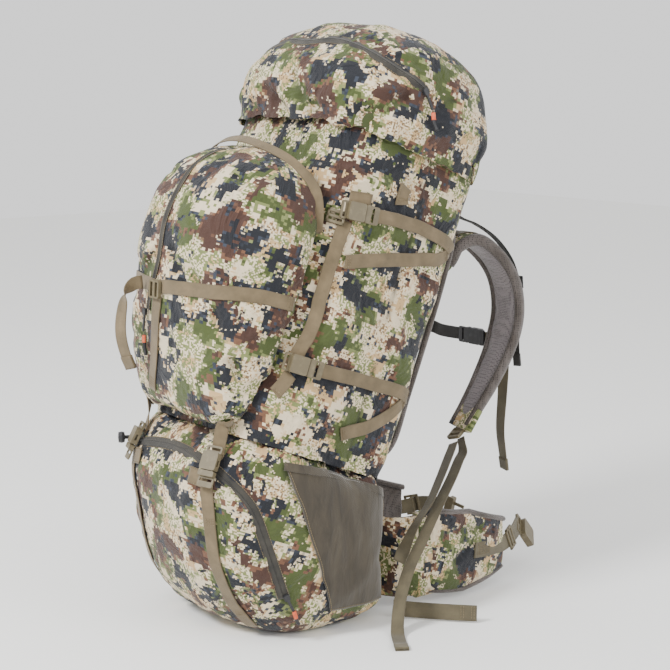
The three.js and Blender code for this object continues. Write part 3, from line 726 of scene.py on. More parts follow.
def side_route(key, side):
    """A strap's route on one side of the bag."""
    return [lean(side * HALF, out, up) for out, up in ON_SIDE[key]]


def outside(route):
    """The route moved out across the pack, clear of any cloth that it will be laid on."""
    return [p + Vector((math.copysign(0.016, p.x), 0, 0)) for p in route]


def base_strap_route(side):
    return [at(side * FRONT_BUCKLE_X, y, z) for y, z in
            ((-153, 245), (-150, 226), (-148, 190), (-146, 150), (-128, 92), (-100, 44), (-70, 14))]


straps_held = seam_tree([side_route(key, side) for key in ON_SIDE for _, side in SIDES]
                        + [around(FRONT_HALF), CENTRE] + [base_strap_route(s) for _, s in SIDES])
zips_held = seam_tree([around(ZIP_BASE), around(ZIP_LID), ZIP_POCKET])
MOULDED = ("buckle", "clip", "lock")
FITTINGS = [node for node in NODES if any(word in node for word in (*MOULDED, "slider", "toggle"))]
fittings = tree_of([sum(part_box(node), Vector()) / 2 for node in FITTINGS])
HELD = [(straps_held, 0.009, 0.032), (zips_held, 0.006, 0.024), (fittings, 0.024, 0.045)]


BAG_RIBS = ((-14, -260, 162, 3.4), (20, -266, 168, 3.6), (110, -270, 170, 3.8),
            (280, -266, 170, 3.8), (430, -260, 170, 3.8), (BAG_RIM, -254, 166, 3.8))


def bag_ring(up, count, off=0.0):
    """A ring of the main bag: round front corners and crisp rear ones."""
    heights = [r[0] for r in BAG_RIBS]
    front, half, square = (np.interp(up, heights, [r[k] for r in BAG_RIBS]) for k in (1, 2, 3))
    middle, reach = (front - 1) / 2, (-1 - front) / 2 - off
    ring = []
    for k in range(count):
        turn = 2 * math.pi * k / count
        x, y = math.cos(turn), math.sin(turn)
        power = square if y > 0 else 7
        size = (abs(x / (half - off)) ** power + abs(y / reach) ** power) ** (-1 / power)
        ring.append((x * size, middle - y * size))
    closed = np.array(ring + ring[:1])
    run = np.concatenate(([0], np.cumsum(np.linalg.norm(np.diff(closed, axis=0), axis=1))))
    stops = np.linspace(0, run[-1], count + 1)[:-1]
    return [lean(np.interp(s, run, closed[:, 0]), np.interp(s, run, closed[:, 1]), up) for s in stops]


def main_bag():
    """The main bag's outer wall, rim, inner wall and bottom as one open cloth shell."""
    rows, columns = 84, 208
    rings = [bag_ring(-14 + (BAG_RIM + 14) * r / rows, columns) for r in range(rows + 1)]
    rings += [bag_ring(BAG_RIM - drop, columns, 3.0) for drop in (4, 30, 60, 120, 240, 460)]
    points = [p for ring in rings for p in ring]
    faces = [(r * columns + k, (r + 1) * columns + k, (r + 1) * columns + (k + 1) % columns,
              r * columns + (k + 1) % columns)
             for r in range(len(rings) - 1) for k in range(columns)]
    faces.append(tuple((len(rings) - 1) * columns + k for k in reversed(range(columns))))
    piece = link("bag_cloth", joint_mesh("bag_cloth", points, faces))
    inner = tree_of(points[-7 * columns:])
    rear = seam_tree([[lean(x, -4, up), lean(x, -4, up + 10)] for x in range(-150, 151, 25)
                      for up in range(-10, 470, 25)], 0.01)
    return inflate(piece, HELD + [(inner, 0.004, 0.02), (rear, 0.02, 0.03)], 0.009, 0.05, 5.0)


SEAM_SIDE = [(-112, 470), (-110, 330), (-104, 150), (-98, -8)]
BAG_SEAMS = [[lean(side * HALF, out, up) for out, up in SEAM_SIDE] for _, side in SIDES]
BAG_SEAMS += [[lean(side * 150, -250, up) for up in (-5, 120, 300, 470)] for _, side in SIDES]
BAG_FOLDS = [[lean(side * 165, -226, 392), lean(side * 170, -160, 408), lean(side * 170, -90, 396)]
             for _, side in SIDES]
SMALL_FOLD = 0.030


def finished_bag(piece, node, material, seams, big, small, folds=(), keep=None):
    """Finishes a bag's blown-up cloth: finer, wrinkled, creased, printed and handed to its body.
    big and small each hold a wrinkle's size, height, stretch and seed."""
    subdivided(piece)
    wrinkled(piece, *big, keep)
    wrinkled(piece, *small, keep)
    creased(piece, seams, folds=folds)
    flat_map(piece).data.materials.append(material)
    handed(piece, "lid" if node == "lid" else "pack", node)


bag = main_bag()
finished_bag(bag, "main_bag", CAMO, BAG_SEAMS, (0.075, 0.0024, (1.3, 1.3, 0.6), 3.0),
             (SMALL_FOLD, 0.0006, (1, 1, 0.7), 9.0), ((BAG_FOLDS, 0.003, 0.007, 0.25),))

LID_SEAM_BACK = [at(0, 345, 712), at(100, 330, 720), at(160, 290, 742), at(180, 240, 772),
                 at(178, 205, 752)]
LID_SEAMS = [around(ZIP_LID), around(LID_SEAM_BACK)]
LID_FOLDS = [[lean(8, -283, 520), lean(44, -280, 482), lean(74, -274, 456)],
             [lean(40, -281, 500), lean(72, -276, 470), lean(98, -268, 452)],
             [lean(-52, -281, 500), lean(-20, -283, 478), lean(10, -280, 456)],
             [lean(150, -240, 470), lean(168, -215, 500), lean(172, -195, 520)],
             [lean(-120, -262, 500), lean(-90, -272, 470), lean(-60, -276, 452)],
             [lean(120, -258, 520), lean(140, -244, 480), lean(150, -240, 456)]]
lid = soft_copy("lid_cloth", "lid")
hem = seam_tree([[lean(side * x, out, LID_HEM + 2) for x, out in
                  ((0, -276), (150, -258), (178, -150), (176, -20), (120, 12), (0, 14))]
                 for _, side in SIDES])
inflate(lid, HELD + [(hem, 0.012, 0.035)], 0.010, 0.06, 5.0)
finished_bag(lid, "lid", CAMO_LID, LID_SEAMS, (0.085, 0.0046, (1, 1, 1.2), 14.0),
             (0.032, 0.0009, (1, 1, 1), 21.0), ((LID_FOLDS, 0.0095, 0.0095, 0.35),))

POCKET_EDGE = [lean(0, -330, 384), lean(56, -322, 376), lean(100, -300, 358), lean(134, -268, 322),
               lean(149, -250, 240), lean(148, -250, 150), lean(138, -248, 70), lean(110, -248, 14)]
POCKET_SEAMS = [around(POCKET_EDGE)]
POCKET_FOLDS = [[lean(side * x, out, up), lean(side * x2, out2, up2)] for _, side in SIDES
                for x, out, up, x2, out2, up2 in
                ((18, -396, 208, 62, -388, 158), (30, -390, 232, 84, -378, 160),
                 (86, -372, 330, 128, -330, 292), (30, -388, 130, 66, -368, 96),
                 (20, -382, 120, 40, -362, 70), (100, -350, 140, 132, -300, 60))]
pocket = soft_copy("pocket_cloth", "front_pocket")
inflate(pocket, HELD, 0.008, 0.06, 4.0)
finished_bag(pocket, "front_pocket", CAMO_POCKET, POCKET_SEAMS, (0.080, 0.0032, (1, 1, 0.8), 31.0),
             (SMALL_FOLD, 0.0008, (1, 1, 0.8), 37.0), ((POCKET_FOLDS, 0.0070, 0.0075, 0.35),))

BASE_SEAMS = [around(ZIP_BASE),
              around([at(0, -100, 42), at(90, -96, 42), at(146, -66, 40), at(166, 0, 34)])]
BASE_SEAMS += [[at(side * 169, -58, 276), at(side * 170, -30, 180), at(side * 166, 22, 42)]
               for _, side in SIDES]


def above_floor(points):
    """How much each point may wrinkle: not at all where the base rests on the floor."""
    return np.clip((points[:, 2] - 0.006) / 0.02, 0, 1)


base = soft_copy("base_cloth", "base_compartment")
rest = seam_tree([[at(x, -40, 0), at(x, 112, 0)] for x in range(-120, 121, 12)], 0.01)
inflate(base, HELD + [(rest, 0.012, 0.04)], 0.008, 0.06, 4.0)
finished_bag(base, "base_compartment", CAMO_BASE, BASE_SEAMS, (0.085, 0.0030, (1, 1, 0.8), 41.0),
             (SMALL_FOLD, 0.0008, (1, 1, 0.8), 47.0), keep=above_floor)

# ---- what lies on the bags -----------------------------------------------------------
cloth = Cloth(bag, pocket, base)
bag_cloth, base_cloth, pocket_cloth, lid_cloth = (Cloth(piece) for piece in (bag, base, pocket, lid))


def sewn(name, route, surface, body="pack", width=WEB, lift=0.0009, material=KHAKI,
         section=STRAP_SECTION, thick=WEB_THICK, calm=6, node=None):
    """Lays a strip on a surface. Returns its path and the way out of the cloth along it."""
    path, out = surface.laid(route, lift, calm=calm)
    handed(strip(name, path, out, width, thick, section, material), body, node)
    return path, out


# A stitch is 3 steps of 1 mm long, with one step between it and the next
THREAD_STEP, STITCH_STEPS, GAP_STEPS, THREAD_THICK = 0.001, 3, 1, 0.0005


def dashes(name, rows, body):
    """Rows of stitches, each a path and the way out of the cloth."""
    points, faces = [], []
    for path, out in rows:
        if len(path) == 2:
            path = [path[0], (path[0] + path[1]) / 2, path[1]]
        fine = smooth(path, THREAD_STEP)
        for k in range(0, len(fine) - STITCH_STEPS, STITCH_STEPS + GAP_STEPS):
            a, b = fine[k], fine[k + STITCH_STEPS]
            face = Vector(out[min(len(out) - 1, k * len(out) // len(fine))]).normalized()
            side = (b - a).cross(face).normalized() * THREAD_THICK
            rise = face * THREAD_THICK
            start = len(points)
            points += [a - side, a + side, a + rise, b - side, b + side, b + rise]
            faces += [tuple(start + i for i in f) for f in
                      ((0, 2, 5, 3), (2, 1, 4, 5), (1, 0, 3, 4), (0, 1, 2), (3, 5, 4))]
    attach(link(name, joint_mesh(name, points, faces), THREAD), body)


def tack_rows(path, out, shares, width=WEB, rows=3):
    """Bar tacks across a strap at each share of its length."""
    made, way = [], tangents(path)
    for share in shares:
        for r in range(rows):
            i = min(len(path) - 2, max(1, round(share * (len(path) - 1)) + r))
            face = out[i].normalized()
            side = way[i].cross(face).normalized() * width * 0.44
            middle = path[i] + face * (WEB_THICK + 0.0002)
            made.append(([middle - side, middle + side], [face, face]))
    return made


def edges_of(path, out, widths):
    """The two edge lines of a strip that is as wide as widths says at each point."""
    sides = [along.cross(o).normalized() * width / 2
             for along, o, width in zip(tangents(path), out, widths)]
    return [[p + side * sign for p, side in zip(path, sides)] for sign in (-1, 1)]


def edge_rows(path, out, width, lift=WEB_THICK):
    """Stitch lines along both edges of a strip."""
    lines = edges_of(path, out, [0.84 * width] * len(path))
    return [([p + o.normalized() * (lift + 0.0001) for p, o in zip(line, out)], out) for line in lines]


stitches = []
LIFTS = {"upper": 0.0034, "lower": 0.0034, "diagonal": 0.0016}
BASE_TAB, CORNER_TAB, PATCH = 0.024, 0.017, 0.022
# Where the strap starts to follow its clip and where it wholly does: out and up on the side
CLIP_PULL = {"upper": ("side_clip", (-112, 350), (-168, 344)),
             "lower": ("low_clip", (-120, 113), (-186, 108))}
for name, side in SIDES:
    for key in LIFTS:
        node, follows = f"{key}_strap", "pack"
        if key in CLIP_PULL:
            clip, start, end = CLIP_PULL[key]
            follows = ("pack", f"{clip}_{name}", lean(side * HALF, *start), lean(side * HALF, *end))
        path, out = sewn(f"{node}_webbing_{name}", outside(side_route(key, side)), bag_cloth, follows,
                         lift=LIFTS[key], node=f"{node}_{name}")
        if key == "diagonal":
            stitches += tack_rows(path, out, (0.97,))
        else:
            path, out = sewn(f"{node}_return_{name}", outside(side_route(key + "_back", side)),
                             bag_cloth, lift=0.0014)
            stitches += tack_rows(path, out, (0.95, 0.05))
path, out = sewn("front_strap_webbing", around(FRONT_HALF), pocket_cloth, node="front_strap")
stitches += tack_rows(path, out, (0.02, 0.97))
path, out = sewn("centre_strap_webbing", CENTRE, pocket_cloth, lift=0.0012, node="centre_strap")
stitches += tack_rows(path, out, (0.88,), rows=4)
for name, side in SIDES:
    follows = ("pack", f"front_clip_{name}", at(side * FRONT_BUCKLE_X, -148, 186),
               at(side * FRONT_BUCKLE_X, -151, 232))
    path, out = sewn(f"base_strap_webbing_{name}", base_strap_route(side), base_cloth, follows, lift=0.0016,
                     node=f"base_strap_{name}")
    stitches += tack_rows(path, out, (0.22, 0.85))
    stub = [at(side * FRONT_BUCKLE_X, -133, 286), at(side * FRONT_BUCKLE_X, -128, 300),
            lean(side * 100, -272, 6), lean(side * 98, -270, 20)]
    sewn(f"front_buckle_web_{name}", stub, cloth, lift=0.003)
    tab = [at(side * 66, -146, 252), at(side * 84, -146, 250), at(side * 100, -144, 248)]
    path, out = sewn(f"base_tab_{name}", tab, base_cloth, width=BASE_TAB, lift=0.0022)
    stitches += edge_rows(path, out, BASE_TAB)
    ear = [lean(side * 160, -240, 356), lean(side * 166, -222, 358), lean(side * 169, -204, 360)]
    path, out = sewn(f"corner_tab_{name}", outside(ear), bag_cloth, width=CORNER_TAB, lift=0.0022)
    stitches += edge_rows(path, out, CORNER_TAB)
    patch = [lean(side * HALF, -150, 372), lean(side * HALF, -149, 386), lean(side * HALF, -148, 400)]
    path, out = sewn(f"keeper_patch_{name}", outside(patch), bag_cloth, width=PATCH, lift=0.0018)
    stitches += edge_rows(path, out, PATCH) + tack_rows(path, out, (0.1,), PATCH, 2)
    low_tab = [lean(side * 152, -240, 90), lean(side * 146, -249, 74), lean(side * 141, -254, 56)]
    path, out = sewn(f"low_buckle_tab_{name}", outside(low_tab), bag_cloth, lift=0.0035)
    stitches += tack_rows(path, out, (0.85,))
dashes("stitching", stitches, "pack")

ARC_HALF = [lean(0, -334, 396), lean(56, -326, 390), lean(104, -304, 376), lean(134, -276, 350),
            lean(142, -262, 320), lean(142, -254, 292)]
arc = smooth(around(ARC_HALF))
arc_out = [Vector((p.x * 3, 0, 0)) - LEAN_OUT * 0.6 + LEAN_UP * 0.5 for p in arc]
handed(strip("pocket_arc_webbing", arc, calmed(arc_out, 5), 0.015), "pack",
       "pocket_arc_strap")

for tag, route, surface, body in (("base_zip", around(ZIP_BASE), base_cloth, "pack"),
                                  ("pocket_zip", ZIP_POCKET, pocket_cloth, "pack"),
                                  ("lid_zip", around(ZIP_LID), lid_cloth, "lid")):
    width = 0.013 if tag == "pocket_zip" else 0.019
    path, out = sewn(tag, route, surface, body, width, 0.0002, ZIP_TAPE, ZIP_SECTION, 0.0026, 8)
    dashes(tag + "_stitching", edge_rows(path, out, width * 1.06, 0.0010), body)

# ---- side pockets --------------------------------------------------------------------
# Corners of the stretch panel: how far front or rear, and how high
PANEL_LOW = ((24, 40), (132, 36))
PANEL_TOP = ((-56, 274), (134, 200))


def side_panel(name, side, columns=60, rows=64):
    """A stretch pocket sewn to the base along three edges, its mouth standing open."""
    low, top = ([at(side * HALF, y, z) for y, z in edge] for edge in (PANEL_LOW, PANEL_TOP))
    points, uvs = [], []
    for j in range(rows + 1):
        for i in range(columns + 1):
            u, w = i / columns, j / rows
            target = low[0].lerp(low[1], u).lerp(top[0].lerp(top[1], u), w)
            place, out = base_cloth.nearest(target)
            gape = math.sin(math.pi * u) ** 0.6 * min(1, 1.6 * w)
            fold = noise.noise(Vector((u * 7, w * 1.6, side))) * 0.0022 * math.sin(math.pi * u) ** 0.4
            points.append(place + out * (0.0014 + 0.0088 * gape + fold * min(1, 2 * w)))
            uvs.append((u * 0.15, w * 0.2))
    faces = [(j * (columns + 1) + i, j * (columns + 1) + i + 1,
              (j + 1) * (columns + 1) + i + 1, (j + 1) * (columns + 1) + i)
             for j in range(rows) for i in range(columns)]
    if side < 0:
        faces = [f[::-1] for f in faces]
    piece = link(f"side_pocket_cloth_{name}", joint_mesh("side_pocket_cloth", points, faces, uvs), STRETCH)
    solid = piece.modifiers.new("thickness", "SOLIDIFY")
    solid.thickness = 0.0014
    solid.offset = 1
    handed(settled(piece), "pack", f"side_pocket_{name}")
    row = columns + 1
    hem = [points[rows * row + i] for i in range(0, row, 2)]
    facing = [base_cloth.nearest(p)[1] for p in hem]
    hem = [p - UP * 0.004 + o * 0.0012 for p, o in zip(hem, facing)]
    handed(strip(f"side_pocket_hem_{name}", hem, facing, 0.012, 0.0022, material=STRETCH), "pack")
    edge_paths = [[points[j * row + k] for j in range(0, rows + 1, 4)] for k in (1, columns - 1)]
    edge_paths.append([points[row + i] for i in range(0, row, 4)])
    rows_of = [(path, [base_cloth.nearest(p)[1] for p in path]) for path in edge_paths]
    lifted = [([p + o * 0.0016 for p, o in zip(path, out)], out) for path, out in rows_of]
    dashes(f"side_pocket_stitching_{name}", lifted, "pack")


for name, side in SIDES:
    side_panel(name, side)

# ---- harness padding -----------------------------------------------------------------
PAD_WIDTH, PAD_STEP, RIM = 0.065, 0.006, 0.012
LUMBAR_Z, HIP_X = 84, 146
PAD_SECTION = tuple(
    (0.5 * x * reach, 0.5 * y * reach, 0.0)
    for x, y in ((math.cos(k * math.pi / 16), math.sin(k * math.pi / 16)) for k in range(32))
    for reach in ((abs(x) ** 5 + abs(y) ** 5) ** -0.2,))
STRAP_ROUTE = [at(72, 318, 528), at(82, 328, 548), at(96, 352, 556), at(104, 386, 534),
               at(108, 420, 490), at(109, 430, 436), at(108, 416, 382), at(105, 386, 326),
               at(102, 352, 278), at(100, 342, 262)]
WING_ROUTE = [at(HIP_X, 227, LUMBAR_Z), at(HIP_X + 1, 242, LUMBAR_Z), at(HIP_X + 2, 266, 79),
              at(HIP_X - 1, 310, 72), at(HIP_X - 8, 360, 66), at(HIP_X - 22, 408, 62)]


def sided(piece, route, across, inner, edge, outer):
    """Gives a pad's faces to its two faces and its rim. The inner face looks along the
    route crossed with across."""
    path = smooth(route, 0.01)
    tree = tree_of(path)
    looks = [along.cross(Vector(across)).normalized() for along in tangents(path)]
    flat_map(piece)
    for material in (inner, edge, outer):
        piece.data.materials.append(material)
    for face in piece.data.polygons:
        look = face.normal.dot(looks[tree.find(face.center)[1]])
        face.material_index = 0 if look > 0.55 else 2 if look < -0.55 else 1


def pad(node, body, slot, inner, edge, outer, route=None, across=(1, 0, 0), cap=0.003, voxel=0.005,
        size=0.05, height=0.0012, calm=4):
    """A CAD pad as swollen foam, with its own cloth on its inner face, its rim and its outer face."""
    piece = soft_copy(node + "_foam", node, voxel, calm)
    inflate(piece, [], cap, 0.02, 2.0, 12)
    subdivided(piece)
    wrinkled(piece, size, height, seed=len(node))
    if route:
        sided(piece, route, across, inner, edge, outer)
    else:
        flat_map(piece).data.materials.append(inner)
    handed(piece, body, node)
    return piece


back = pad("back_panel", "pack", "pad_mesh", MESH, MESH, MESH, voxel=0.004, calm=24)
PANEL_EDGE = [lean(0, 19, 391), lean(90, 19, 391), lean(108, 18.5, 374), lean(117, 18, 300),
              lean(117, 18, 120), lean(115, 18, 42), lean(100, 17, 22), lean(0, 17, 22)]
for k, (_, side) in enumerate(SIDES):
    handed(strip(f"back_panel_piping_{k}", smooth(flipped(PANEL_EDGE, side)), LEAN_OUT, 0.008, 0.010,
                 CORD_SECTION, DARK_MESH), "pack")
CHANNELS = [[lean(side * x, 27, up) for up in (44, 160, 280, 372)] for _, side in SIDES for x in (38, 92)]
CHANNELS += [around([lean(0, 27, up), lean(60, 27, up), lean(100, 27, up)]) for up in (130, 250)]
creased(back, CHANNELS, 0.004, 0.006)
LUMBAR_HALF = [at(0, 164, LUMBAR_Z), at(122, 171, LUMBAR_Z), at(142, 194, LUMBAR_Z), at(146, 221, LUMBAR_Z)]
LUMBAR_CHANNELS = [around([at(0, 173, z), at(80, 174, z), at(118, 178, z)]) for z in (56, 112)]
lumbar = pad("lumbar_pad", "pack", "pad_mesh", CAMO_BELT, DARK_MESH, MESH, around(LUMBAR_HALF), (0, 0, 1))
creased(lumbar, LUMBAR_CHANNELS, 0.003, 0.005)


def widths_of(path, width):
    """width(share) at each point of the path."""
    return [width(i / (len(path) - 1)) for i in range(len(path))]


def strap_edge(share):
    """How far apart the middles of a shoulder strap's rims are."""
    return PAD_WIDTH - RIM - 0.022 * max(0, share - 0.6) / 0.4


def rim_taper(share):
    return 1 - 0.35 * max(0, share - 0.8) / 0.2


def wing_edge(share):
    """How far apart the middles of a hip wing's rims are."""
    return 0.123 - 0.046 * max(0, share - 0.45) / 0.55


def pushed(path, out, depth):
    """The path moved against the way out."""
    return [p - o.normalized() * depth for p, o in zip(path, out)]


def rims(name, path, facing, width, depth, size, body, narrow=None):
    """Bindings along both edges of a pad. size is a binding's width and thickness."""
    for k, line in enumerate(edges_of(path, facing, widths_of(path, width))):
        handed(strip(f"{name}_{k}", pushed(line, facing, depth), facing, *size, CORD_SECTION, DARK_MESH,
                     narrow), body)


def cover(name, path, out, size, material, bend):
    """A padded piece over a joint, baked in place. size is its width and thickness."""
    piece = handed(strip(name, path, out, *size, PAD_SECTION, material), bend)


def shoulder_strap(name, side, body):
    route = flipped(STRAP_ROUTE, side)
    pad(f"shoulder_strap_{name}", body, "pad_mesh", MESH, DARK_MESH, CAMO_BELT, route, (1, 0, 0), 0.002,
        0.004)
    path = smooth(route, PAD_STEP)
    facing = facing_of(path, (1, 0, 0), (1, 0, 0))
    rims(f"strap_rim_{name}", path, facing, strap_edge, 0.009, (RIM + 0.0005, 0.0195), body, rim_taper)
    web_path, web_out = pushed(path, facing, 0.0098)[6:-4], [-f for f in facing][6:-4]
    handed(strip(f"strap_web_{name}", web_path, web_out, material=OLIVE), body)
    # The rows leave out the stretch that the sternum strap's slide moves over
    tacks = tack_rows(web_path, web_out, (0.08, 0.22, 0.36, 0.50, 0.78, 0.90), rows=2)
    dashes(f"strap_stitching_{name}", tacks, body)

    # The yoke's cloth covers the root of the strap and comes off the back panel
    root = smooth([lean(side * 64, 22, 312), lean(side * 67, 28, 326), at(side * 71, 312, 521),
                   at(side * 76, 322, 537)])
    bend = ("pack", body, lean(side * 67, 30, 318), at(side * 76, 322, 536))
    cover(f"yoke_{name}", root, LEAN_OUT, (0.060, 0.017), CAMO_BELT, bend)
    end_path = path[-6:] + [path[-1] + (path[-1] - path[-2]) * 1.2]
    handed(strip(f"strap_end_{name}", end_path, facing[-6:] + [facing[-1]], 0.050, 0.0125, PAD_SECTION,
                 CAMO_BELT), body)


def hip_wing(name, side, body):
    route = flipped(WING_ROUTE, side)
    # The inner face looks out of the pack on one side and into it on the other
    faces = (CAMO_BELT, MESH, DARK_MESH) if side > 0 else (DARK_MESH, MESH, CAMO_BELT)
    wing = pad(f"hip_wing_{name}", body, "camo_cloth", *faces, route, (0, 0, 1), 0.003, 0.005, 0.06, 0.0022)
    pleats = [[at(side * 155, 282, 62), at(side * 154, 322, 84), at(side * 148, 372, 92)],
              [at(side * 155, 262, 112), at(side * 154, 300, 108), at(side * 150, 340, 100)]]
    creased(wing, (), folds=((pleats, 0.0055, 0.007, 0.3),))
    path = smooth(route, PAD_STEP)
    facing = [f * side for f in facing_of(path, (0, 0, 1), (0, 0, 1))]
    rims(f"wing_rim_{name}", path, facing, wing_edge, 0.008, (0.0095, 0.0155), body)
    path = [at(side * 145.5, y, LUMBAR_Z) for y in (206, 212, 218, 222, 226, 231, 236, 242)]
    bend = ("pack", body, at(side * HIP_X, 214, LUMBAR_Z), at(side * HIP_X, 234, LUMBAR_Z))
    cover(f"belt_cover_{name}", path, Vector((side, 0, 0)), (0.1345, 0.0185), CAMO_BELT, bend)


for name, side in SIDES:
    shoulder_strap(name, side, f"shoulder_{name}")
    hip_wing(name, side, f"hip_{name}")

# ---- harness webbing -----------------------------------------------------------------
BAR_THICK, BAR_WIDE = 0.0035, 0.0045


def bars(name, middle, pull, out, size, window, body, material=BUCKLE):
    """A flat moulded fitting: two rails joined by three bars."""
    z = Vector(out).normalized()
    x = (Vector(pull) - z * z.dot(Vector(pull))).normalized()
    y = z.cross(x)
    long, wide = size
    rail = (wide - window) / 2
    boxes = [((0, s * (wide - rail) / 2), (long, rail)) for s in (-1, 1)]
    boxes += [((s * (long - BAR_WIDE) / 2, 0), (BAR_WIDE, wide)) for s in (-1, 0, 1)]
    points, faces = [], []
    for (u, v), (du, dv) in boxes:
        start = len(points)
        for a in (-0.5, 0.5):
            for b in (-0.5, 0.5):
                for c in (-0.5, 0.5):
                    points.append(middle + x * (u + a * du) + y * (v + b * dv) + z * c * BAR_THICK)
        faces += [tuple(start + i for i in f) for f in
                  ((0, 1, 3, 2), (4, 6, 7, 5), (0, 4, 5, 1), (2, 3, 7, 6), (0, 2, 6, 4), (1, 5, 7, 3))]
    piece = handed(link(name, joint_mesh(name, points, faces), material), body)
    rounded(piece, 0.0009)


def taut(name, route, sides, body, node=None, width=WEB, material=OLIVE):
    """A strap held at both ends, whose width turns from the first side to the second."""
    path = smooth(route)
    handed(strip(name, path, facing_of(path, *sides), width, material=material), body, node)


LOWER_ROUTE = [at(172, 152, 90), at(170, 164, 109), at(163, 190, 138), at(158, 222, 166),
               at(140, 258, 192), at(118, 296, 218), at(110, 310, 228), at(105, 319, 236)]
PAD_STRAP_ROUTE = [at(160, 152, 16), at(186, 172, 15.5), at(222, 202, 15.5), at(256, 234, 15.5)]
# Where the hip webbing enters its half of the buckle, and the way that the slot faces
HIP_SLOTS = {"right": ("hip_buckle_right", at(93.5, 477.3, 72.7), (0.761, 0.508, 0.406)),
             "left": ("hip_clip_left", at(-87.6, 473.8, 65.7), (-0.287, 0.958, 0))}


def strap_webbing(name, side, body):
    """The webbing at both ends of a shoulder strap."""
    across = ((side, 0, 0), (side, 0, 0))
    taut(f"harness_webbing_{name}", flipped(LOWER_ROUTE, side), ((0, 0.7, 0.7), (side, -0.3, 0)),
         ("pack", body, at(side * 160, 212, 158), at(side * 118, 296, 218)), f"lower_webbing_{name}")
    taut(f"load_lifter_webbing_{name}", flipped(LIFTER_TOP, side), across,
         ("pack", body, lean(side * 76, 27, 420), at(side * 104, 402, 556)), f"load_lifter_{name}",
         THIN_WEB, BLACK_WEB)
    bars(f"lifter_lock_{name}", at(side * 113, 447.5, 482), (0, 0.1, -1), (0, 1, 0.1), (0.020, 0.020),
         THIN_WEB, body, BLACK)
    stub = [lean(side * 76, 2, 412), lean(side * 76, 16, 417), lean(side * 76, 28, 421)]
    taut(f"haul_stub_{name}", stub, across, "pack", width=0.014, material=BLACK_WEB)


def hip_webbing(name, side, body):
    """The belt's webbing with its slide, and the strap end that comes off the base below it."""
    half, slot_at, slot_out = HIP_SLOTS[name]
    path = smooth([at(side * 154, 322, 71), at(side * 148, 352, 67.5), at(side * 130.5, 410, 62.5),
                   at(side * 114, 446, 68), slot_at])
    facing = blended((side * 0.957, 0.28, 0), slot_out, len(path))
    handed(strip(f"hip_web_{name}", path, facing, WIDE_WEB, material=OLIVE),
           (body, half, at(side * 118, 438, 66), slot_at))
    k = len(path) * 2 // 3
    bars(f"hip_slide_{name}", path[k] + facing[k].normalized() * 0.002, path[k + 1] - path[k - 1],
         facing[k], (0.026, 0.035), 0.026, body)
    dashes(f"hip_web_stitching_{name}", tack_rows(path, facing, (0.04, 0.12, 0.2), WIDE_WEB), body)

    path = smooth(flipped(PAD_STRAP_ROUTE, side))
    facing = [Vector((side * 0.6, -0.8, 0))] * len(path)
    handed(strip(f"pad_strap_webbing_{name}", path, facing, WIDE_WEB, 0.0018, material=OLIVE), "pack",
           f"pad_strap_{name}")
    tacks = tack_rows(path, facing, (0.05, 0.8, 0.93), WIDE_WEB, 2)
    dashes(f"pad_strap_stitching_{name}", tacks, "pack")


for name, side in SIDES:
    strap_webbing(name, side, f"shoulder_{name}")
    hip_webbing(name, side, f"hip_{name}")

# The sternum strap lies across the shoulder straps, whose front slopes back as it goes down
STERNUM_Z = 388
STRAP_SLOPE = (0, -0.37, -0.93)
DOWN = (0, 0, -1)
taut("sternum_webbing_left",
     [at(-97, 432, STERNUM_Z), at(-74, 431, STERNUM_Z), at(-40, 421, STERNUM_Z - 1),
      at(-4, 418.6, STERNUM_Z - 0.4), at(14, 418.4, STERNUM_Z), at(21, 416.4, STERNUM_Z)],
     (STRAP_SLOPE, DOWN),
     ("sternum_left", "sternum_clip", at(-60, 424, STERNUM_Z), at(4, 418, STERNUM_Z)),
     "sternum_web_left", material=BLACK_WEB)
taut("sternum_webbing_right",
     [at(66, 415.6, STERNUM_Z), at(76, 421, STERNUM_Z), at(86, 429.6, STERNUM_Z), at(98, 432.4, STERNUM_Z)],
     (DOWN, STRAP_SLOPE), "sternum_right")
for name, side in SIDES:
    bars(f"sternum_slide_{name}", at(side * 98, 434.6, STERNUM_Z), (1, 0, 0), (0, 0.928, -0.372),
         (0.018, 0.026), 0.019, f"sternum_{name}")
HAUL = [lean(-28, 7, 400), lean(-31, 22, 410), lean(-24, 36, 420), lean(0, 42, 424), lean(24, 36, 420),
        lean(31, 22, 410), lean(28, 7, 400)]
taut("haul_loop_webbing", HAUL, (LEAN_OUT, LEAN_OUT), "pack", node="haul_loop", width=0.018)

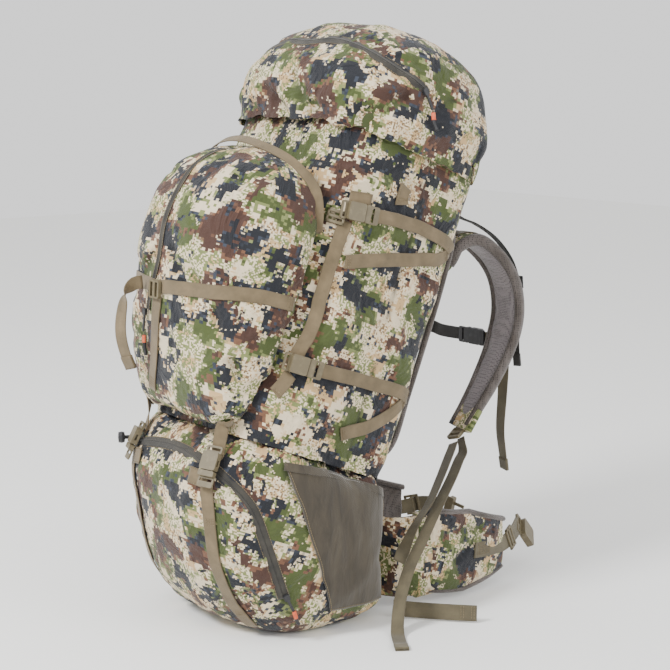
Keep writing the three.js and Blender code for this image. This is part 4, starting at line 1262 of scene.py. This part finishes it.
for name, side in SIDES:
    for tag, spot, size in (("diagonal", lean(side * 158, -243, 322), (0.020, 0.027)),
                            ("arc", lean(side * 144, -262, 294), (0.010, 0.018))):
        place, out = bag_cloth.nearest(spot)
        bars(f"{tag}_slide_{name}", place + out * 0.0052, LEAN_UP, out, size, size[1] - 0.007, "pack")
    knob = [at(side * 112, 337.5, 254), at(side * 110, 340.5, 260), at(side * 107, 345.5, 268)]
    handed(strip(f"strap_knob_{name}", knob, (0, 1, 0), 0.014, 0.012, CORD_SECTION, CAMO_BELT),
           f"shoulder_{name}")

# ---- zip pulls -----------------------------------------------------------------------
def pull_cord(name, start, aim, body, surface):
    """A dark sleeve and a bright knot on a short cord below a zip's slider."""
    way = (aim - start).normalized()
    found = [surface.nearest(start + way * 0.006 * k) for k in range(6)]
    line = [p + out * 0.0045 for p, out in found]
    facing = surface.nearest(line[0])[1]
    for tag, path, size, material in (("sleeve", smooth(line[1:]), 0.0052, BLACK),
                                      ("knot", smooth(line[:3], 0.002), 0.0062, ORANGE)):
        handed(strip(f"{name}_{tag}", path, facing, size, size, CORD_SECTION, material), body)


for name, side in SIDES:
    pull_cord(f"base_pull_{name}", at(side * 164, -38, 52), at(side * 164, -26, 22), "pack", cloth)
pull_cord("pocket_pull", lean(-37, -352, 88), lean(-40, -338, 50), "pack", cloth)
pull_cord("lid_pull", lean(181, -152, 510), lean(183, -138, 480), "lid", lid_cloth)

# ---- hardware from the CAD frame -----------------------------------------------------
for node, piece in NODES.items():
    plastic = any(word in node for word in MOULDED)
    if node not in (*FITTINGS, "frame_sheet"):
        continue
    piece.data.materials.clear()
    piece.data.materials.append(BUCKLE if plastic and "sternum" not in node else BLACK)
    bevel = rounded(piece, 0.0007)
    bevel.limit_method = "ANGLE"
    bevel.angle_limit = math.radians(40)

# ---- floor ---------------------------------------------------------------------------
floor_cloth = Shade("floor", roughness=0.95, specular=0.1)
floor = link("floor", joint_mesh("floor", [(-6, -6, 0), (6, -6, 0), (6, 6, 0), (-6, 6, 0)], [(0, 1, 2, 3)]),
             floor_cloth.finish(rgb(246, 246, 244)))
